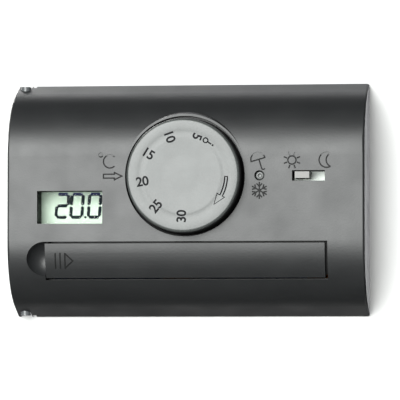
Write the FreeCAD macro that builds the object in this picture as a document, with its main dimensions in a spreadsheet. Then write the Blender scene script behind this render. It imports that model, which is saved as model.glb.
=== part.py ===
"""Wall thermostat with a set-point dial, a small display and a battery drawer along its lower edge.

The thermostat hangs on a flat wall.  The origin is the centre of the face that lies against the
wall, which is the plane Y = 0.  +X is to the reader's right, +Z is up and the front looks along -Y.
Every depth is counted back from the flat front face, so what is mounted in the front unit follows
the front when the case is made deeper.  All sizes are in millimetres.
"""
import FreeCAD, Part

import math
import os
import re

import Sketcher

SIZES = {
    # the case
    "shell_width": 110.0, "shell_height": 72.4, "shell_depth": 22.0, "shell_wall": 2.0,
    "front_flat": 26.0, "side_slope": 69.13, "edge_round": 0.7, "rim_gap": 0.5, "fit_gap": 0.3,
    "seam_depth": 9.0, "base_floor": 2.0, "base_wall": 1.4,
    "rib_width": 1.2, "rib_height": 1.6, "rib_start": 12.0, "rib_end": 28.0,
    # the two snap lugs near the left end
    "lug_offset": 52.2, "lug_width": 2.9, "lug_length": 5.0, "lug_gap": 0.25, "relief_width": 1.1,
    "lug_root": 6.0, "lug_shy": 0.6, "lug_flat": 1.4, "lug_lead_in": 32.0,
    # holes in the base
    "screw_pitch_wide": 83.5, "screw_pitch_narrow": 60.0, "slot_width": 4.2, "slot_wide_length": 6.0,
    "slot_narrow_length": 8.0, "cable_hole_half_width": 12.0, "cable_hole_low": 4.0, "cable_hole_high": 18.0,
    # the dial and its collar
    "dial_height": 6.6, "dial_radius": 17.9, "dial_draft": 0.55, "dial_proud": 5.5,
    "dial_wall": 1.8, "dial_round": 0.8, "dial_dish_radius": 12.8, "dial_dish": 0.25,
    "dial_gap": 0.55, "dial_lift": 0.5, "collar_land": 0.65, "collar_taper": 1.1,
    "collar_cup_depth": 4.5, "collar_floor": 1.5, "hub_radius": 5.5, "shaft_radius": 3.0,
    "shaft_flat": 1.5, "shaft_hole_radius": 4.0,
    # the circuit board
    "board_depth": 14.4, "board_thickness": 1.6, "board_half_width": 50.0, "board_top": 28.5,
    "board_notch_left": 20.5, "board_notch_bottom": 12.3,
    "boss_radius": 2.3, "board_screw_radius": 1.0, "board_screw_head": 1.9,
    # the larger components on the board
    "relay_height": 8.0, "crystal_radius": 1.0, "capacitor_radius": 2.5, "capacitor_height": 7.0,
    "sensor_radius": 1.2, "sensor_height": 5.0, "pot_half_width": 8.0, "pot_height": 5.6,
    "pot_nose_height": 7.6,
    # the display
    "window_left": 45.7, "window_right": 25.5, "window_top": 2.3, "window_bottom": 7.8,
    "well_wall": 1.0, "display_depth": 9.5, "display_margin": 2.4, "display_thickness": 2.8,
    "lens_thickness": 1.0, "lens_gap": 0.1, "lens_lip": 1.8, "strip_width": 2.0, "holder_wall": 1.0,
    "strip_gap": 0.6,
    # the slider and the season button
    "slot_left": 32.9, "slot_right": 42.9, "slot_low": 5.0, "slot_high": 8.2,
    "slider_depth": 8.5, "slider_plate": 1.0, "slider_travel": 4.2, "knob_width": 4.4,
    "knob_height": 2.0, "knob_left_gap": 0.8, "knob_recess": 0.5, "stub_shy": 0.8,
    "button_across": 22.9, "button_up": 6.7, "button_radius": 1.3, "button_gap": 0.25,
    "button_recess": 1.2, "button_stroke": 0.5, "switch_height": 2.8,
    # the battery drawer
    "lid_left": 43.3, "lid_right": 42.8, "lid_top": 13.9, "lid_bottom": 24.4, "lid_thickness": 1.6,
    "lid_gap_left": 0.2, "lid_gap_right": 0.85, "lid_gap_side": 0.6,
    "scoop_radius": 5.9, "scoop_centre_proud": 0.8, "scoop_wall": 1.5,
    "battery_radius": 5.25, "battery_length": 44.5, "cell_depth": 5.45,
    "nub_radius": 1.9, "nub_length": 1.0, "tray_gap": 0.3, "tray_wall": 1.2, "tray_half_length": 47.2,
    "tray_clear": 0.95, "tray_board_gap": 0.45,
    "contact_plate_thickness": 0.4, "spring_radius": 3.0, "spring_wire": 0.6, "rail_offset": 2.95,
    "leaf_gap": 0.5,
    # the terminals
    "terminal_left": 22.0, "terminal_right": 47.0, "terminal_low": 14.0, "terminal_high": 24.0,
    "terminal_height": 9.0, "terminal_pitch": 7.6, "terminal_screw_radius": 2.0,
    "blade_across": 16.5, "blade_thickness": 0.8, "blade_width": 2.4, "blade_pitch": 4.0,
    "blade_first": 15.8, "socket_half_width": 2.6,
    # engraved marks
    "mark_depth": 0.3, "mark_line": 0.42, "lid_mark_reach": 5.5,
    # worked out from the others: the cells lie just below the display's frame, and the board stops above them
    "battery_low": "=window_bottom + display_margin + strip_gap / 2 + holder_wall + tray_clear + tray_wall"
                   " + tray_gap + battery_radius",
    "board_bottom": "=battery_low - battery_radius - tray_gap - tray_wall - tray_board_gap",
}

FRONT = "(-shell_depth)"
BOARD_FRONT = "(-shell_depth + board_depth)"
BOARD_BACK = "(-shell_depth + board_depth + board_thickness)"
DISPLAY_FACE = "(-shell_depth + display_depth)"
SLIDER_FACE = "(-shell_depth + slider_depth)"
BATTERY_Y = "(-shell_depth + cell_depth + battery_radius)"
WELL_END = "(-shell_depth + display_depth - lens_gap - lens_thickness - fit_gap)"
DIAL_FACE = "(-shell_depth - dial_proud)"
CUP_FLOOR = "(-shell_depth + collar_cup_depth)"
BASE_TOP = "(-base_floor)"
X, Y, Z = FreeCAD.Vector(1, 0, 0), FreeCAD.Vector(0, 1, 0), FreeCAD.Vector(0, 0, 1)
TURN_TO = {"X": FreeCAD.Rotation(Y, 90), "Y": FreeCAD.Rotation(X, -90), "Z": FreeCAD.Rotation()}

doc = FreeCAD.newDocument("wall_thermostat")
sub_parts = []


def fill_sheet():
    """Writes each driving size into its own named cell."""
    sheet = doc.addObject("Spreadsheet::Sheet", "Sizes")
    for row, (alias, size) in enumerate(SIZES.items(), start=1):
        sheet.set(f"A{row}", alias)
        sheet.set(f"B{row}", str(size))
        sheet.setAlias(f"B{row}", alias)
    doc.recompute()


def cells(text):
    """An expression with each size's name turned into its cell."""
    return re.sub(r"[a-z_]+", lambda word: "Sizes." + word[0] if word[0] in SIZES else word[0], str(text))


def value(text):
    """The number that an expression stands for, for the few shapes and sketch points set by code."""
    working = doc.getObject("Working") or doc.addObject("Spreadsheet::Sheet", "Working")
    working.set("A1", "=" + cells(text))
    working.recompute()
    return float(working.get("A1"))


def bind(thing, prop, text):
    thing.setExpression(prop, cells(text))


def block(name, x, y, z):
    """A rectangular block, given by its two planes on each axis."""
    solid = doc.addObject("Part::Box", name)
    for (low, high), place, length in zip((x, y, z), "xyz", ("Length", "Width", "Height")):
        bind(solid, "Placement.Base." + place, low)
        bind(solid, length, f"({high}) - ({low})")
    return solid


def stand(solid, axis, span, centre):
    """Turns a round primitive onto an axis and puts its foot at the low end of its span."""
    solid.Placement.Rotation = TURN_TO[axis]
    places = list(centre)
    places.insert("XYZ".index(axis), span[0])
    for place, text in zip("xyz", places):
        bind(solid, "Placement.Base." + place, text)
    bind(solid, "Height", f"({span[1]}) - ({span[0]})")
    return solid


def rod(name, radius, axis, span, centre):
    """A round bar along an axis between two planes; centre is its place on the other two axes."""
    solid = doc.addObject("Part::Cylinder", name)
    bind(solid, "Radius", radius)
    return stand(solid, axis, span, centre)


def cone(name, low_radius, high_radius, axis, span, centre):
    """A tapered bar along an axis between two planes."""
    solid = doc.addObject("Part::Cone", name)
    bind(solid, "Radius1", low_radius)
    bind(solid, "Radius2", high_radius)
    return stand(solid, axis, span, centre)


def joined(name, *pieces):
    """The pieces fused into one solid, or kept as a group of separate solids where they don't touch."""
    solid = doc.addObject("Part::MultiFuse", name)
    solid.Shapes = list(pieces)
    solid.Refine = True
    return solid


def less(name, base, *tools):
    """The base with each tool cut out of it."""
    for number, tool in enumerate(tools):
        solid = doc.addObject("Part::Cut", name if number == len(tools) - 1 else f"{name}_step")
        solid.Base = base
        solid.Tool = tool
        solid.Refine = True
        base = solid
    return base


def shared(name, one, other):
    """What two solids have in common."""
    solid = doc.addObject("Part::Common", name)
    solid.Base = one
    solid.Tool = other
    solid.Refine = True
    return solid


def keep(node, solid):
    """Names a finished sub-part and adds it to the list that is written out."""
    solid.Label = node
    sub_parts.append(solid)


def origin_plane(body, role):
    return next(feature for feature in body.Origin.OriginFeatures if feature.Role == role)


def new_sketch(body, role):
    """A sketch on one of the body's own origin planes."""
    sketch = body.newObject("Sketcher::SketchObject", body.Name + "_sketch")
    sketch.AttachmentSupport = [(origin_plane(body, role), "")]
    sketch.MapMode = "FlatFace"
    return sketch


def limit(sketch, text, *constraint):
    """A dimension of a sketch bound to the sheet."""
    number = value(text)
    index = sketch.addConstraint(Sketcher.Constraint(*constraint, number))
    bind(sketch, f"Constraints[{index}]", text)


# ---------------------------------------------------------------- the case section

def section_points(inset):
    """Where the case section's lines and arcs meet, inset from the outside by a wall."""
    slope = math.radians(value("side_slope"))
    depth = value("shell_depth") - inset
    flat = value("front_flat") / 2
    foot = value("shell_height") / 2 - inset / math.sin(slope)
    radius = ((foot - flat) * math.sin(slope) - depth * math.cos(slope)) / (1 - math.cos(slope))
    centre = FreeCAD.Vector(radius - depth, flat, 0)
    tangent = centre + FreeCAD.Vector(-math.cos(slope), math.sin(slope), 0) * radius
    return depth, flat, foot, radius, centre, tangent, slope


def section_block(name, inset="0", half_width="shell_width / 2"):
    """A bar with the case's section: a flat front, two round shoulders and sloping sides."""
    body = doc.addObject("PartDesign::Body", name)
    sketch = new_sketch(body, "YZ_Plane")
    depth, flat, foot, radius, centre, tangent, slope = section_points(value(inset))
    low_centre = FreeCAD.Vector(centre.x, -centre.y, 0)
    low_tangent = FreeCAD.Vector(tangent.x, -tangent.y, 0)
    front_low, front_high = FreeCAD.Vector(-depth, -flat, 0), FreeCAD.Vector(-depth, flat, 0)
    wall_low, wall_high = FreeCAD.Vector(0, -foot, 0), FreeCAD.Vector(0, foot, 0)
    sketch.addGeometry([
        Part.LineSegment(front_low, front_high),
        Part.ArcOfCircle(Part.Circle(centre, Z, radius), math.pi - slope, math.pi),
        Part.LineSegment(tangent, wall_high),
        Part.LineSegment(wall_high, wall_low),
        Part.LineSegment(wall_low, low_tangent),
        Part.ArcOfCircle(Part.Circle(low_centre, Z, radius), math.pi, math.pi + slope),
    ])
    for joint in [("Tangent", 0, 2, 1, 2), ("Tangent", 1, 1, 2, 1), ("Coincident", 2, 2, 3, 1),
                  ("Coincident", 3, 2, 4, 1), ("Tangent", 4, 2, 5, 2), ("Tangent", 5, 1, 0, 1),
                  ("Symmetric", 0, 1, 0, 2, -1), ("Symmetric", 3, 1, 3, 2, -1),
                  ("PointOnObject", 3, 1, -2), ("Equal", 1, 5)]:
        sketch.addConstraint(Sketcher.Constraint(*joint))
    limit(sketch, f"shell_depth - ({inset})", "DistanceX", 0, 1, -1, 1)
    limit(sketch, "front_flat", "DistanceY", 0, 1, 0, 2)
    limit(sketch, f"shell_height - 2 * ({inset}) / sin(side_slope)", "DistanceY", 3, 2, 3, 1)
    pad = body.newObject("PartDesign::Pad", name + "_pad")
    pad.Profile = sketch
    pad.Midplane = True
    bind(pad, "Length", f"2 * ({half_width})")
    doc.recompute()
    return body


def round_ends(body, radius):
    """Rounds the two curved end edges of a section block."""
    pad = body.Tip
    half = value("shell_width") / 2
    ends = [f"Edge{number}" for number, edge in enumerate(pad.Shape.Edges, start=1)
            if all(abs(abs(vertex.X) - half) < 0.01 for vertex in edge.Vertexes)
            and max(abs(vertex.Y) for vertex in edge.Vertexes) > 0.01
            and abs(edge.Vertexes[0].X - edge.Vertexes[-1].X) < 0.01]
    fillet = body.newObject("PartDesign::Fillet", body.Name + "_round")
    fillet.Base = (pad, ends)
    bind(fillet, "Radius", radius)
    doc.recompute()


# ---------------------------------------------------------------- wall base

def lug():
    """A snap lug that stands out of the base's upper rim: a rounded block with a sloping lead-in."""
    across = ("-lug_offset - lug_width / 2", "-lug_offset + lug_width / 2")
    reach = ("shell_height / 2 - lug_root", "shell_height / 2 - lug_shy")
    ramp = block("lug_ramp", across, ("-lug_length", "0"), reach)
    nose = rod("lug_nose", "lug_width / 2", "Z", reach, ("-lug_offset", "-lug_length + lug_width / 2"))
    foot = block("lug_foot", across, ("-lug_length + lug_width / 2", "0"), reach)
    rounded = shared("lug_plan", ramp, joined("lug_outline", nose, foot))
    lead_in = block("lug_slope", ("-lug_offset - lug_width", "-lug_offset + lug_width"),
                    ("-2 * lug_length", "0"), ("0", "2 * lug_length"))
    lead_in.Placement.Rotation = FreeCAD.Rotation(X, value("lug_lead_in"))
    bind(lead_in, "Placement.Base.y", "-lug_flat")
    bind(lead_in, "Placement.Base.z", reach[1])
    return less("lug_upper", rounded, lead_in)


def wall_base():
    """The tray that is screwed to the wall: a floor, a low rim, two end walls and two snap lugs."""
    outside = section_block("base_outside", "shell_wall + fit_gap")
    inside = section_block("base_inside", "shell_wall + fit_gap + base_wall",
                           "shell_width / 2 - shell_wall")
    depth_band = block("base_band", ("-shell_width", "shell_width"), ("-seam_depth", "0"),
                       ("-shell_height", "shell_height"))
    hollow_band = block("base_hollow_band", ("-shell_width", "shell_width"),
                        ("-shell_depth", BASE_TOP), ("-shell_height", "shell_height"))
    tray = less("base_tray", shared("base_slab", outside, depth_band),
                shared("base_hollow", inside, hollow_band))
    upper = lug()
    lower = doc.addObject("Part::Mirroring", "lug_lower")
    lower.Source = upper
    lower.Normal = Z
    ribs = [block(f"base_rib_{name}", (f"{place} - rib_width / 2", f"{place} + rib_width / 2"),
                  (f"{BASE_TOP} - rib_height", BASE_TOP), (low, "rib_end"))
            for name, place, low in [("left", "-46", "-board_bottom"), ("middle", "-20", "rib_start"),
                                     ("right", "49.5", "-board_bottom")]]
    solid = joined("base_solid", tray, upper, lower, *ribs)
    tools = [slot(f"slot_{side}_{pitch}", f"{sign} screw_pitch_{pitch} / 2", f"slot_{pitch}_length")
             for pitch in ("wide", "narrow") for side, sign in (("left", "-"), ("right", ""))]
    tools.append(block("cable_hole", ("-cable_hole_half_width", "cable_hole_half_width"), ("-4", "1"),
                       ("cable_hole_low", "cable_hole_high")))
    keep("wall_base", less("wall_base", solid, *tools))


def slot(name, place, length):
    """A level screw slot through the floor, with round ends."""
    reach = f"({length} - slot_width) / 2"
    middle = block(name + "_middle", (f"{place} - {reach}", f"{place} + {reach}"), ("-4", "1"),
                   ("-slot_width / 2", "slot_width / 2"))
    ends = [rod(f"{name}_{end}", "slot_width / 2", "Y", ("-4", "1"), (f"{place} {sign} {reach}", "0"))
            for end, sign in (("start", "-"), ("stop", "+"))]
    return joined(name, middle, *ends)


# ---------------------------------------------------------------- terminals on the base

TERMINALS = ("first", "second", "third")
TERMINAL_MIDDLE = "(terminal_left + terminal_right) / 2"
BLOCK_TOP = "(-base_floor - terminal_height)"


def terminal_x(number):
    return f"({TERMINAL_MIDDLE} + {number - 1} * terminal_pitch)"


def blade_z(number):
    return f"(blade_first + {number} * blade_pitch)"


def terminals():
    """A three-way screw terminal block, its clamps and screws, and the plug-in blades beside it."""
    body = block("terminal_body", ("terminal_left", "terminal_right"), (BLOCK_TOP, BASE_TOP),
                 ("terminal_low", "terminal_high"))
    foot = block("terminal_foot", ("blade_across - 3", "terminal_left"), (f"{BASE_TOP} - 1.5", BASE_TOP),
                 ("terminal_low", "terminal_high + 2.5"))
    tools, screws, clamps, blades = [], [], [], []
    for number, name in enumerate(TERMINALS):
        x, z = terminal_x(number), "(terminal_low + 5.5)"
        tools.append(rod(f"screw_well_{name}", "terminal_screw_radius + 0.3", "Y",
                         (f"{BLOCK_TOP} - 1", f"{BASE_TOP} - 6"), (x, z)))
        tools.append(block(f"wire_entry_{name}", (f"{x} - 2.4", f"{x} + 2.4"),
                           (f"{BASE_TOP} - 6", f"{BASE_TOP} - 1.4"),
                           ("terminal_low - 1", "terminal_low + 8.2")))
        head = rod(f"screw_head_{name}", "terminal_screw_radius", "Y",
                   (f"{BLOCK_TOP} + 0.8", f"{BLOCK_TOP} + 2.6"), (x, z))
        shank = rod(f"screw_shank_{name}", "1.25", "Y", (f"{BLOCK_TOP} + 2.5", f"{BASE_TOP} - 3.6"), (x, z))
        recess = block(f"screw_recess_{name}", (f"{x} - 0.35", f"{x} + 0.35"),
                       (BLOCK_TOP, f"{BLOCK_TOP} + 1.6"), (f"{z} - 3", f"{z} + 3"))
        screws.append(less(f"screw_{name}", joined(f"screw_solid_{name}", head, shank), recess))
        cage = block(f"cage_{name}", (f"{x} - 2.2", f"{x} + 2.2"), (f"{BASE_TOP} - 5.9", f"{BASE_TOP} - 1.5"),
                     (f"{z} - 2.2", f"{z} + 2.2"))
        mouth = block(f"cage_mouth_{name}", (f"{x} - 1.5", f"{x} + 1.5"),
                      (f"{BASE_TOP} - 4.4", f"{BASE_TOP} - 2.2"), (f"{z} - 3", f"{z} + 3"))
        thread = rod(f"cage_thread_{name}", "1.3", "Y", (f"{BASE_TOP} - 7", f"{BASE_TOP} - 3.2"), (x, z))
        clamps.append(less(f"clamp_{name}", cage, mouth, thread))
        place = blade_z(number)
        blade = (("blade_across - blade_thickness / 2", "blade_across + blade_thickness / 2"),
                 (f"{BOARD_BACK} + 0.6", f"{BASE_TOP} - 0.2"),
                 (f"{place} - blade_width / 2", f"{place} + blade_width / 2"))
        blades.append(block(f"blade_{name}", *blade))
        tools.append(block(f"blade_slit_{name}", *blade))
    keep("terminal_block", less("terminal_block", joined("terminal_solid", body, foot), *tools))
    keep("terminal_screws", joined("terminal_screws", *screws))
    keep("terminal_clamps", joined("terminal_clamps", *clamps))
    keep("base_contact_blades", joined("base_contact_blades", *blades))


# ---------------------------------------------------------------- front cover

LID_OPENING = (("-lid_left - lid_gap_left", "lid_right + lid_gap_right"),
               ("-lid_bottom - lid_gap_side", "-lid_top + lid_gap_side"))
WINDOW = (("-window_left", "-window_right"), ("-window_bottom", "window_top"))
SLIDER_SLOT = (("slot_left", "slot_right"), ("slot_low", "slot_high"))
DIAL_CENTRE = ("0", "dial_height")
HOLE_RADIUS = "(dial_radius + dial_gap)"
BUTTON_CENTRE = ("button_across", "button_up")
BOSSES = (("-46.5", "24.5"), ("11.5", "24.5"), ("47.6", "-1.5"), ("20", "-9.2"))


def grown(pair, margin):
    """A pair of planes moved apart by a margin on each side."""
    return (f"{pair[0]} - ({margin})", f"{pair[1]} + ({margin})")


def through(pair_x, pair_z, name, back="0"):
    """A rectangular cutter from in front of the case back to a plane."""
    return block(name, pair_x, (f"{FRONT} - 10", back), pair_z)


def collar():
    """The round wall that the dial sits in, which stands proud of the sloping part of the front."""
    return cone("collar", f"{HOLE_RADIUS} + collar_land", f"{HOLE_RADIUS} + collar_land + collar_taper", "Y",
                (FRONT, f"{CUP_FLOOR} + collar_floor"), DIAL_CENTRE)


def cover_features():
    """What is moulded onto the inside of the shell, before the holes are cut."""
    window = block("window_well", grown(WINDOW[0], "well_wall"), (f"{FRONT} + shell_wall / 2", WELL_END),
                   grown(WINDOW[1], "well_wall"))
    guide = block("slider_well", grown(SLIDER_SLOT[0], "well_wall"),
                  (f"{FRONT} + shell_wall / 2", f"{SLIDER_FACE} - fit_gap"),
                  grown(SLIDER_SLOT[1], "well_wall"))
    tube = rod("button_tube", "button_radius + button_gap + well_wall", "Y",
               (f"{FRONT} + shell_wall / 2", f"{SLIDER_FACE} - fit_gap"), BUTTON_CENTRE)
    bosses = [rod(f"boss_{number}", "boss_radius", "Y", (f"{FRONT} + shell_wall / 2", BOARD_FRONT), place)
              for number, place in enumerate(BOSSES)]
    return [window, guide, tube, *bosses]


def scoop_block():
    """The thick pad behind the fingertip scoop, which also holds up the lid's left end."""
    return block("scoop_pad", ("-lid_left - scoop_radius - scoop_wall", "-lid_left + 0.8"),
                 ("-shell_depth", f"{BATTERY_Y} - battery_radius + 1.3"),
                 ("-lid_bottom - lid_gap_side - 0.6", "-lid_top + lid_gap_side + 0.6"))


def scoop_bowl():
    """The round hollow that a fingertip goes into, at the lid's left end."""
    bowl = doc.addObject("Part::Sphere", "scoop_bowl")
    bind(bowl, "Radius", "scoop_radius")
    bind(bowl, "Placement.Base.x", "-lid_left - 0.1")
    bind(bowl, "Placement.Base.y", f"{FRONT} - scoop_centre_proud")
    bind(bowl, "Placement.Base.z", "-(lid_top + lid_bottom) / 2")
    return bowl


def cover_cutters():
    """Every hole that goes through the shell from the front."""
    cup = rod("dial_cup", HOLE_RADIUS, "Y", (f"{FRONT} - 10", CUP_FLOOR), DIAL_CENTRE)
    bore = rod("shaft_hole", "shaft_hole_radius", "Y", (f"{FRONT} - 10", "0"), DIAL_CENTRE)
    pin = rod("button_hole", "button_radius + button_gap", "Y", (f"{FRONT} - 1", "0"), BUTTON_CENTRE)
    pilots = [rod(f"pilot_{number}", "board_screw_radius + 0.03", "Y",
                  (f"{BOARD_FRONT} - 5", f"{BOARD_FRONT} + 1"), place)
              for number, place in enumerate(BOSSES)]
    return [cup, bore, pin, through(*WINDOW, "window_hole"), through(*SLIDER_SLOT, "slider_hole"), *pilots]


def front_cover():
    """The moulded front shell, with the dial's cup, the display's well, the slots and the bosses."""
    outside = section_block("cover_outside")
    round_ends(outside, "edge_round")
    inside = section_block("cover_inside", "shell_wall", "shell_width / 2 - shell_wall")
    end_gap = section_block("cover_end_gap", "shell_wall", "shell_width")
    rim = block("cover_rim_cut", ("-shell_width", "shell_width"), ("-rim_gap", "1"),
                ("-shell_height", "shell_height"))
    end_band = block("cover_end_band", ("-shell_width", "shell_width"), ("-seam_depth - fit_gap", "1"),
                     ("-shell_height", "shell_height"))
    shell = less("cover_shell", outside, inside, rim, shared("cover_end_cut", end_gap, end_band))
    within = section_block("cover_within", "0.4")
    moulded = shared("cover_moulded", joined("cover_fittings", *cover_features(), scoop_block()), within)
    solid = joined("cover_solid", shell, moulded, collar())
    ledge = section_block("lid_ledge", "lid_thickness + 0.2")
    opening = less("lid_opening_cut", through(*LID_OPENING, "lid_opening"),
                   shared("lid_ledges", ledge, joined("ledge_bars", *ledge_bars())))
    notches = []
    for name, low, high in (("upper", "shell_height / 2 - 6", "shell_height"),
                            ("lower", "-shell_height", "-shell_height / 2 + 6")):
        half = "(lug_width / 2 + lug_gap)"
        notches.append(block(f"notch_{name}", (f"-lug_offset - {half}", f"-lug_offset + {half}"),
                             ("-lug_length + lug_width / 2", "1"), (low, high)))
        notches.append(rod(f"notch_end_{name}", half, "Z", (low, high),
                           ("-lug_offset", "-lug_length + lug_width / 2")))
        notches.append(block(f"relief_{name}", ("-lug_offset + 2", "-lug_offset + 2 + relief_width"),
                             ("-rim_gap - 1.3", "1"), (low, high)))
    cut = less("cover_cut", solid, *cover_cutters(), opening, scoop_bowl(), *notches, *marks())
    keep("front_cover", cut)


def ledge_bars():
    """The two short ledges that the lid's ends rest on, one under each end of its opening."""
    depth = (f"{FRONT}", f"{BATTERY_Y} - battery_radius - 0.6")
    height = ("-lid_bottom - lid_gap_side", "-lid_top + lid_gap_side")
    left = block("ledge_left", ("-lid_left - lid_gap_left", "-lid_left + 0.8"), depth, height)
    right = block("ledge_right", ("lid_right - 0.2", "lid_right + lid_gap_right"), depth, height)
    return [left, right]


# ---------------------------------------------------------------- engraved marks

def faced(solid, x, z, back):
    """Turns a cutter drawn in the XY plane to face the reader, with its foot on the plane Y = back."""
    solid.rotate(FreeCAD.Vector(), X, 90)
    solid.translate(FreeCAD.Vector(x, back, z))
    return solid


def stroke(back, *points):
    """Cutters for a straight or bent line through the points, each (x, z), as deep as the plane Y = back."""
    line, tall = value("mark_line"), value("shell_depth")
    found = []
    for (x, z), (next_x, next_z) in zip(points, points[1:]):
        bar = Part.makeBox(math.hypot(next_x - x, next_z - z) + line, line, tall,
                           FreeCAD.Vector(-line / 2, -line / 2, 0))
        bar.rotate(FreeCAD.Vector(), Z, math.degrees(math.atan2(next_z - z, next_x - x)))
        found.append(faced(bar, x, z, back))
    return found


def sweep(back, x, z, radius, start=0.0, stop=360.0):
    """A cutter for a round line about a centre, between two angles in degrees from +X towards +Z."""
    line, tall = value("mark_line"), value("shell_depth")
    outer = Part.makeCylinder(radius + line / 2, tall, FreeCAD.Vector(), Z, stop - start)
    ring = outer.cut(Part.makeCylinder(radius - line / 2, tall))
    ring.rotate(FreeCAD.Vector(), Z, start)
    return [faced(ring, x, z, back)]


def rays(back, x, z, count, inner, outer, turn=0.0):
    """Cutters for short lines that point away from a centre."""
    found = []
    for number in range(count):
        angle = math.radians(turn + 360.0 * number / count)
        along = (math.cos(angle), math.sin(angle))
        found += stroke(back, (x + inner * along[0], z + inner * along[1]),
                        (x + outer * along[0], z + outer * along[1]))
    return found


def snow_branches(back, x, z):
    """Cutters for the two short branches near the end of each of a snowflake's six arms."""
    found = []
    for arm in range(6):
        points = []
        for radius, turn in ((2.1, 10.0), (1.2, 30.0), (2.1, 50.0)):
            angle = math.radians(60.0 * arm + turn)
            points.append((x + radius * math.cos(angle), z + radius * math.sin(angle)))
        found += stroke(back, *points)
    return found


def symbol_cutters(back):
    """The lines of each symbol on the front, sized and placed about the controls they belong to."""
    button, up = value("button_across"), value("button_up")
    left = -value("(window_left + window_right) / 2")
    sun, moon = value("slot_left"), value("slot_right")
    above = value("slot_high") + 3.1
    top = up + 6.2
    celsius = sweep(back, left + 9.7, 13.2, 0.6) + sweep(back, left + 12.5, 11.2, 2.0, 45, 315)
    arrow = stroke(back, (left + 10.5, 6.1), (left + 13.9, 6.1), (left + 13.9, 5.6), (left + 16.2, 6.7),
                   (left + 13.9, 7.8), (left + 13.9, 7.3), (left + 10.5, 7.3), (left + 10.5, 6.1))
    sun_lines = sweep(back, sun, above, 1.25) + rays(back, sun, above, 8, 1.8, 2.5, 22.5)
    moon_lines = (sweep(back, moon + 0.6, above, 2.3, 60, 300)
                  + sweep(back, moon + 2.65, above, 2.19, 114, 246))
    flake = rays(back, button, up - 4.6, 6, 0.2, 2.4, 30) + snow_branches(back, button, up - 4.6)
    umbrella = (sweep(back, button - 0.4, top - 1.4, 2.2, 15, 195)
                + stroke(back, (button - 2.5, top - 2.0), (button + 1.7, top - 0.8))
                + stroke(back, (button - 0.1, top - 1.3), (button + 0.7, top - 4.0))
                + sweep(back, button + 1.2, top - 3.9, 0.5, 190, 340))
    return celsius + arrow + sun_lines + moon_lines + flake + umbrella


def marks():
    """One engraving cutter that holds every symbol's lines."""
    cutter = doc.addObject("Part::Feature", "mark_cutter")
    solids = symbol_cutters(value("-shell_depth + mark_depth"))
    cutter.Shape = solids[0].multiFuse(solids[1:])
    return [cutter]


# ---------------------------------------------------------------- dial

def flatted(name, radius, span):
    """A round bar on the dial's axis with a flat along one side."""
    bar = rod(name + "_round", radius, "Y", span, DIAL_CENTRE)
    flat = block(name + "_flat", ("-2 * shaft_radius", "2 * shaft_radius"), grown(span, "1"),
                 ("dial_height + shaft_flat", "dial_height + 3 * shaft_radius"))
    return less(name, bar, flat)


def dial():
    """The turned set-point knob, with a dished face and a hub that grips the flatted shaft."""
    body = doc.addObject("PartDesign::Body", "dial_turned")
    sketch = new_sketch(body, "XY_Plane")
    base = value("-shell_depth + collar_cup_depth - dial_lift")
    face = value(DIAL_FACE)
    corners = [(0, base), (value("dial_radius"), base), (value("dial_radius - dial_draft"), face),
               (value("dial_dish_radius") + 0.5, face),
               (value("dial_dish_radius"), face + value("dial_dish")),
               (0, face + value("dial_dish"))]
    places = [FreeCAD.Vector(*corner, 0) for corner in corners]
    sketch.addGeometry([Part.LineSegment(*pair) for pair in zip(places, places[1:] + places[:1])])
    count = len(corners)
    for number in range(count):
        sketch.addConstraint(Sketcher.Constraint("Coincident", number, 2, (number + 1) % count, 1))
    sketch.addConstraint(Sketcher.Constraint("PointOnObject", 0, 1, -2))
    sketch.addConstraint(Sketcher.Constraint("Horizontal", 0))
    sketch.addConstraint(Sketcher.Constraint("Horizontal", 2))
    sketch.addConstraint(Sketcher.Constraint("Horizontal", 4))
    sketch.addConstraint(Sketcher.Constraint("Vertical", 5))
    limit(sketch, "shell_depth - collar_cup_depth + dial_lift", "DistanceY", 0, 1, -1, 1)
    limit(sketch, "dial_radius", "DistanceX", 0, 1, 0, 2)
    limit(sketch, "dial_radius - dial_draft", "DistanceX", 0, 1, 1, 2)
    limit(sketch, "shell_depth + dial_proud", "DistanceY", 1, 2, -1, 1)
    limit(sketch, "dial_dish_radius + 0.5", "DistanceX", 0, 1, 2, 2)
    limit(sketch, "dial_dish_radius", "DistanceX", 0, 1, 3, 2)
    limit(sketch, "shell_depth + dial_proud - dial_dish", "DistanceY", 3, 2, -1, 1)
    turned = body.newObject("PartDesign::Revolution", "dial_revolution")
    turned.Profile = sketch
    turned.ReferenceAxis = (sketch, ["V_Axis"])
    turned.Angle = 360
    doc.recompute()
    rim = [f"Edge{number}" for number, edge in enumerate(turned.Shape.Edges, start=1)
           if abs(edge.BoundBox.YMin - face) < 0.01 and edge.BoundBox.YLength < 0.01
           and edge.BoundBox.XLength > 2 * value("dial_radius - dial_draft") - 0.1]
    fillet = body.newObject("PartDesign::Fillet", "dial_rim_round")
    fillet.Base = (turned, rim)
    bind(fillet, "Radius", "dial_round")
    bind(body, "Placement.Base.z", "dial_height")
    back = "(-shell_depth + collar_cup_depth - dial_lift)"
    hollow = rod("dial_hollow", "dial_radius - dial_draft - dial_wall", "Y",
                 (f"{DIAL_FACE} + dial_wall", f"{back} + 1"), DIAL_CENTRE)
    hub = rod("dial_hub", "hub_radius", "Y", (f"{DIAL_FACE} + dial_wall - 0.5", f"{back} - 0.6"), DIAL_CENTRE)
    socket = flatted("dial_socket", "shaft_radius", (f"{DIAL_FACE} + dial_wall + 0.6", f"{back} + 1"))
    shell = less("dial_shell", body, hollow)
    keep("dial_knob", less("dial_knob", joined("dial_with_hub", shell, hub), socket))
    keep("potentiometer_shaft", flatted("potentiometer_shaft", "shaft_radius",
                                        (f"{DIAL_FACE} + dial_wall + 0.8", f"{BOARD_FRONT} - 1.2")))


# ---------------------------------------------------------------- slider and season button

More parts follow.
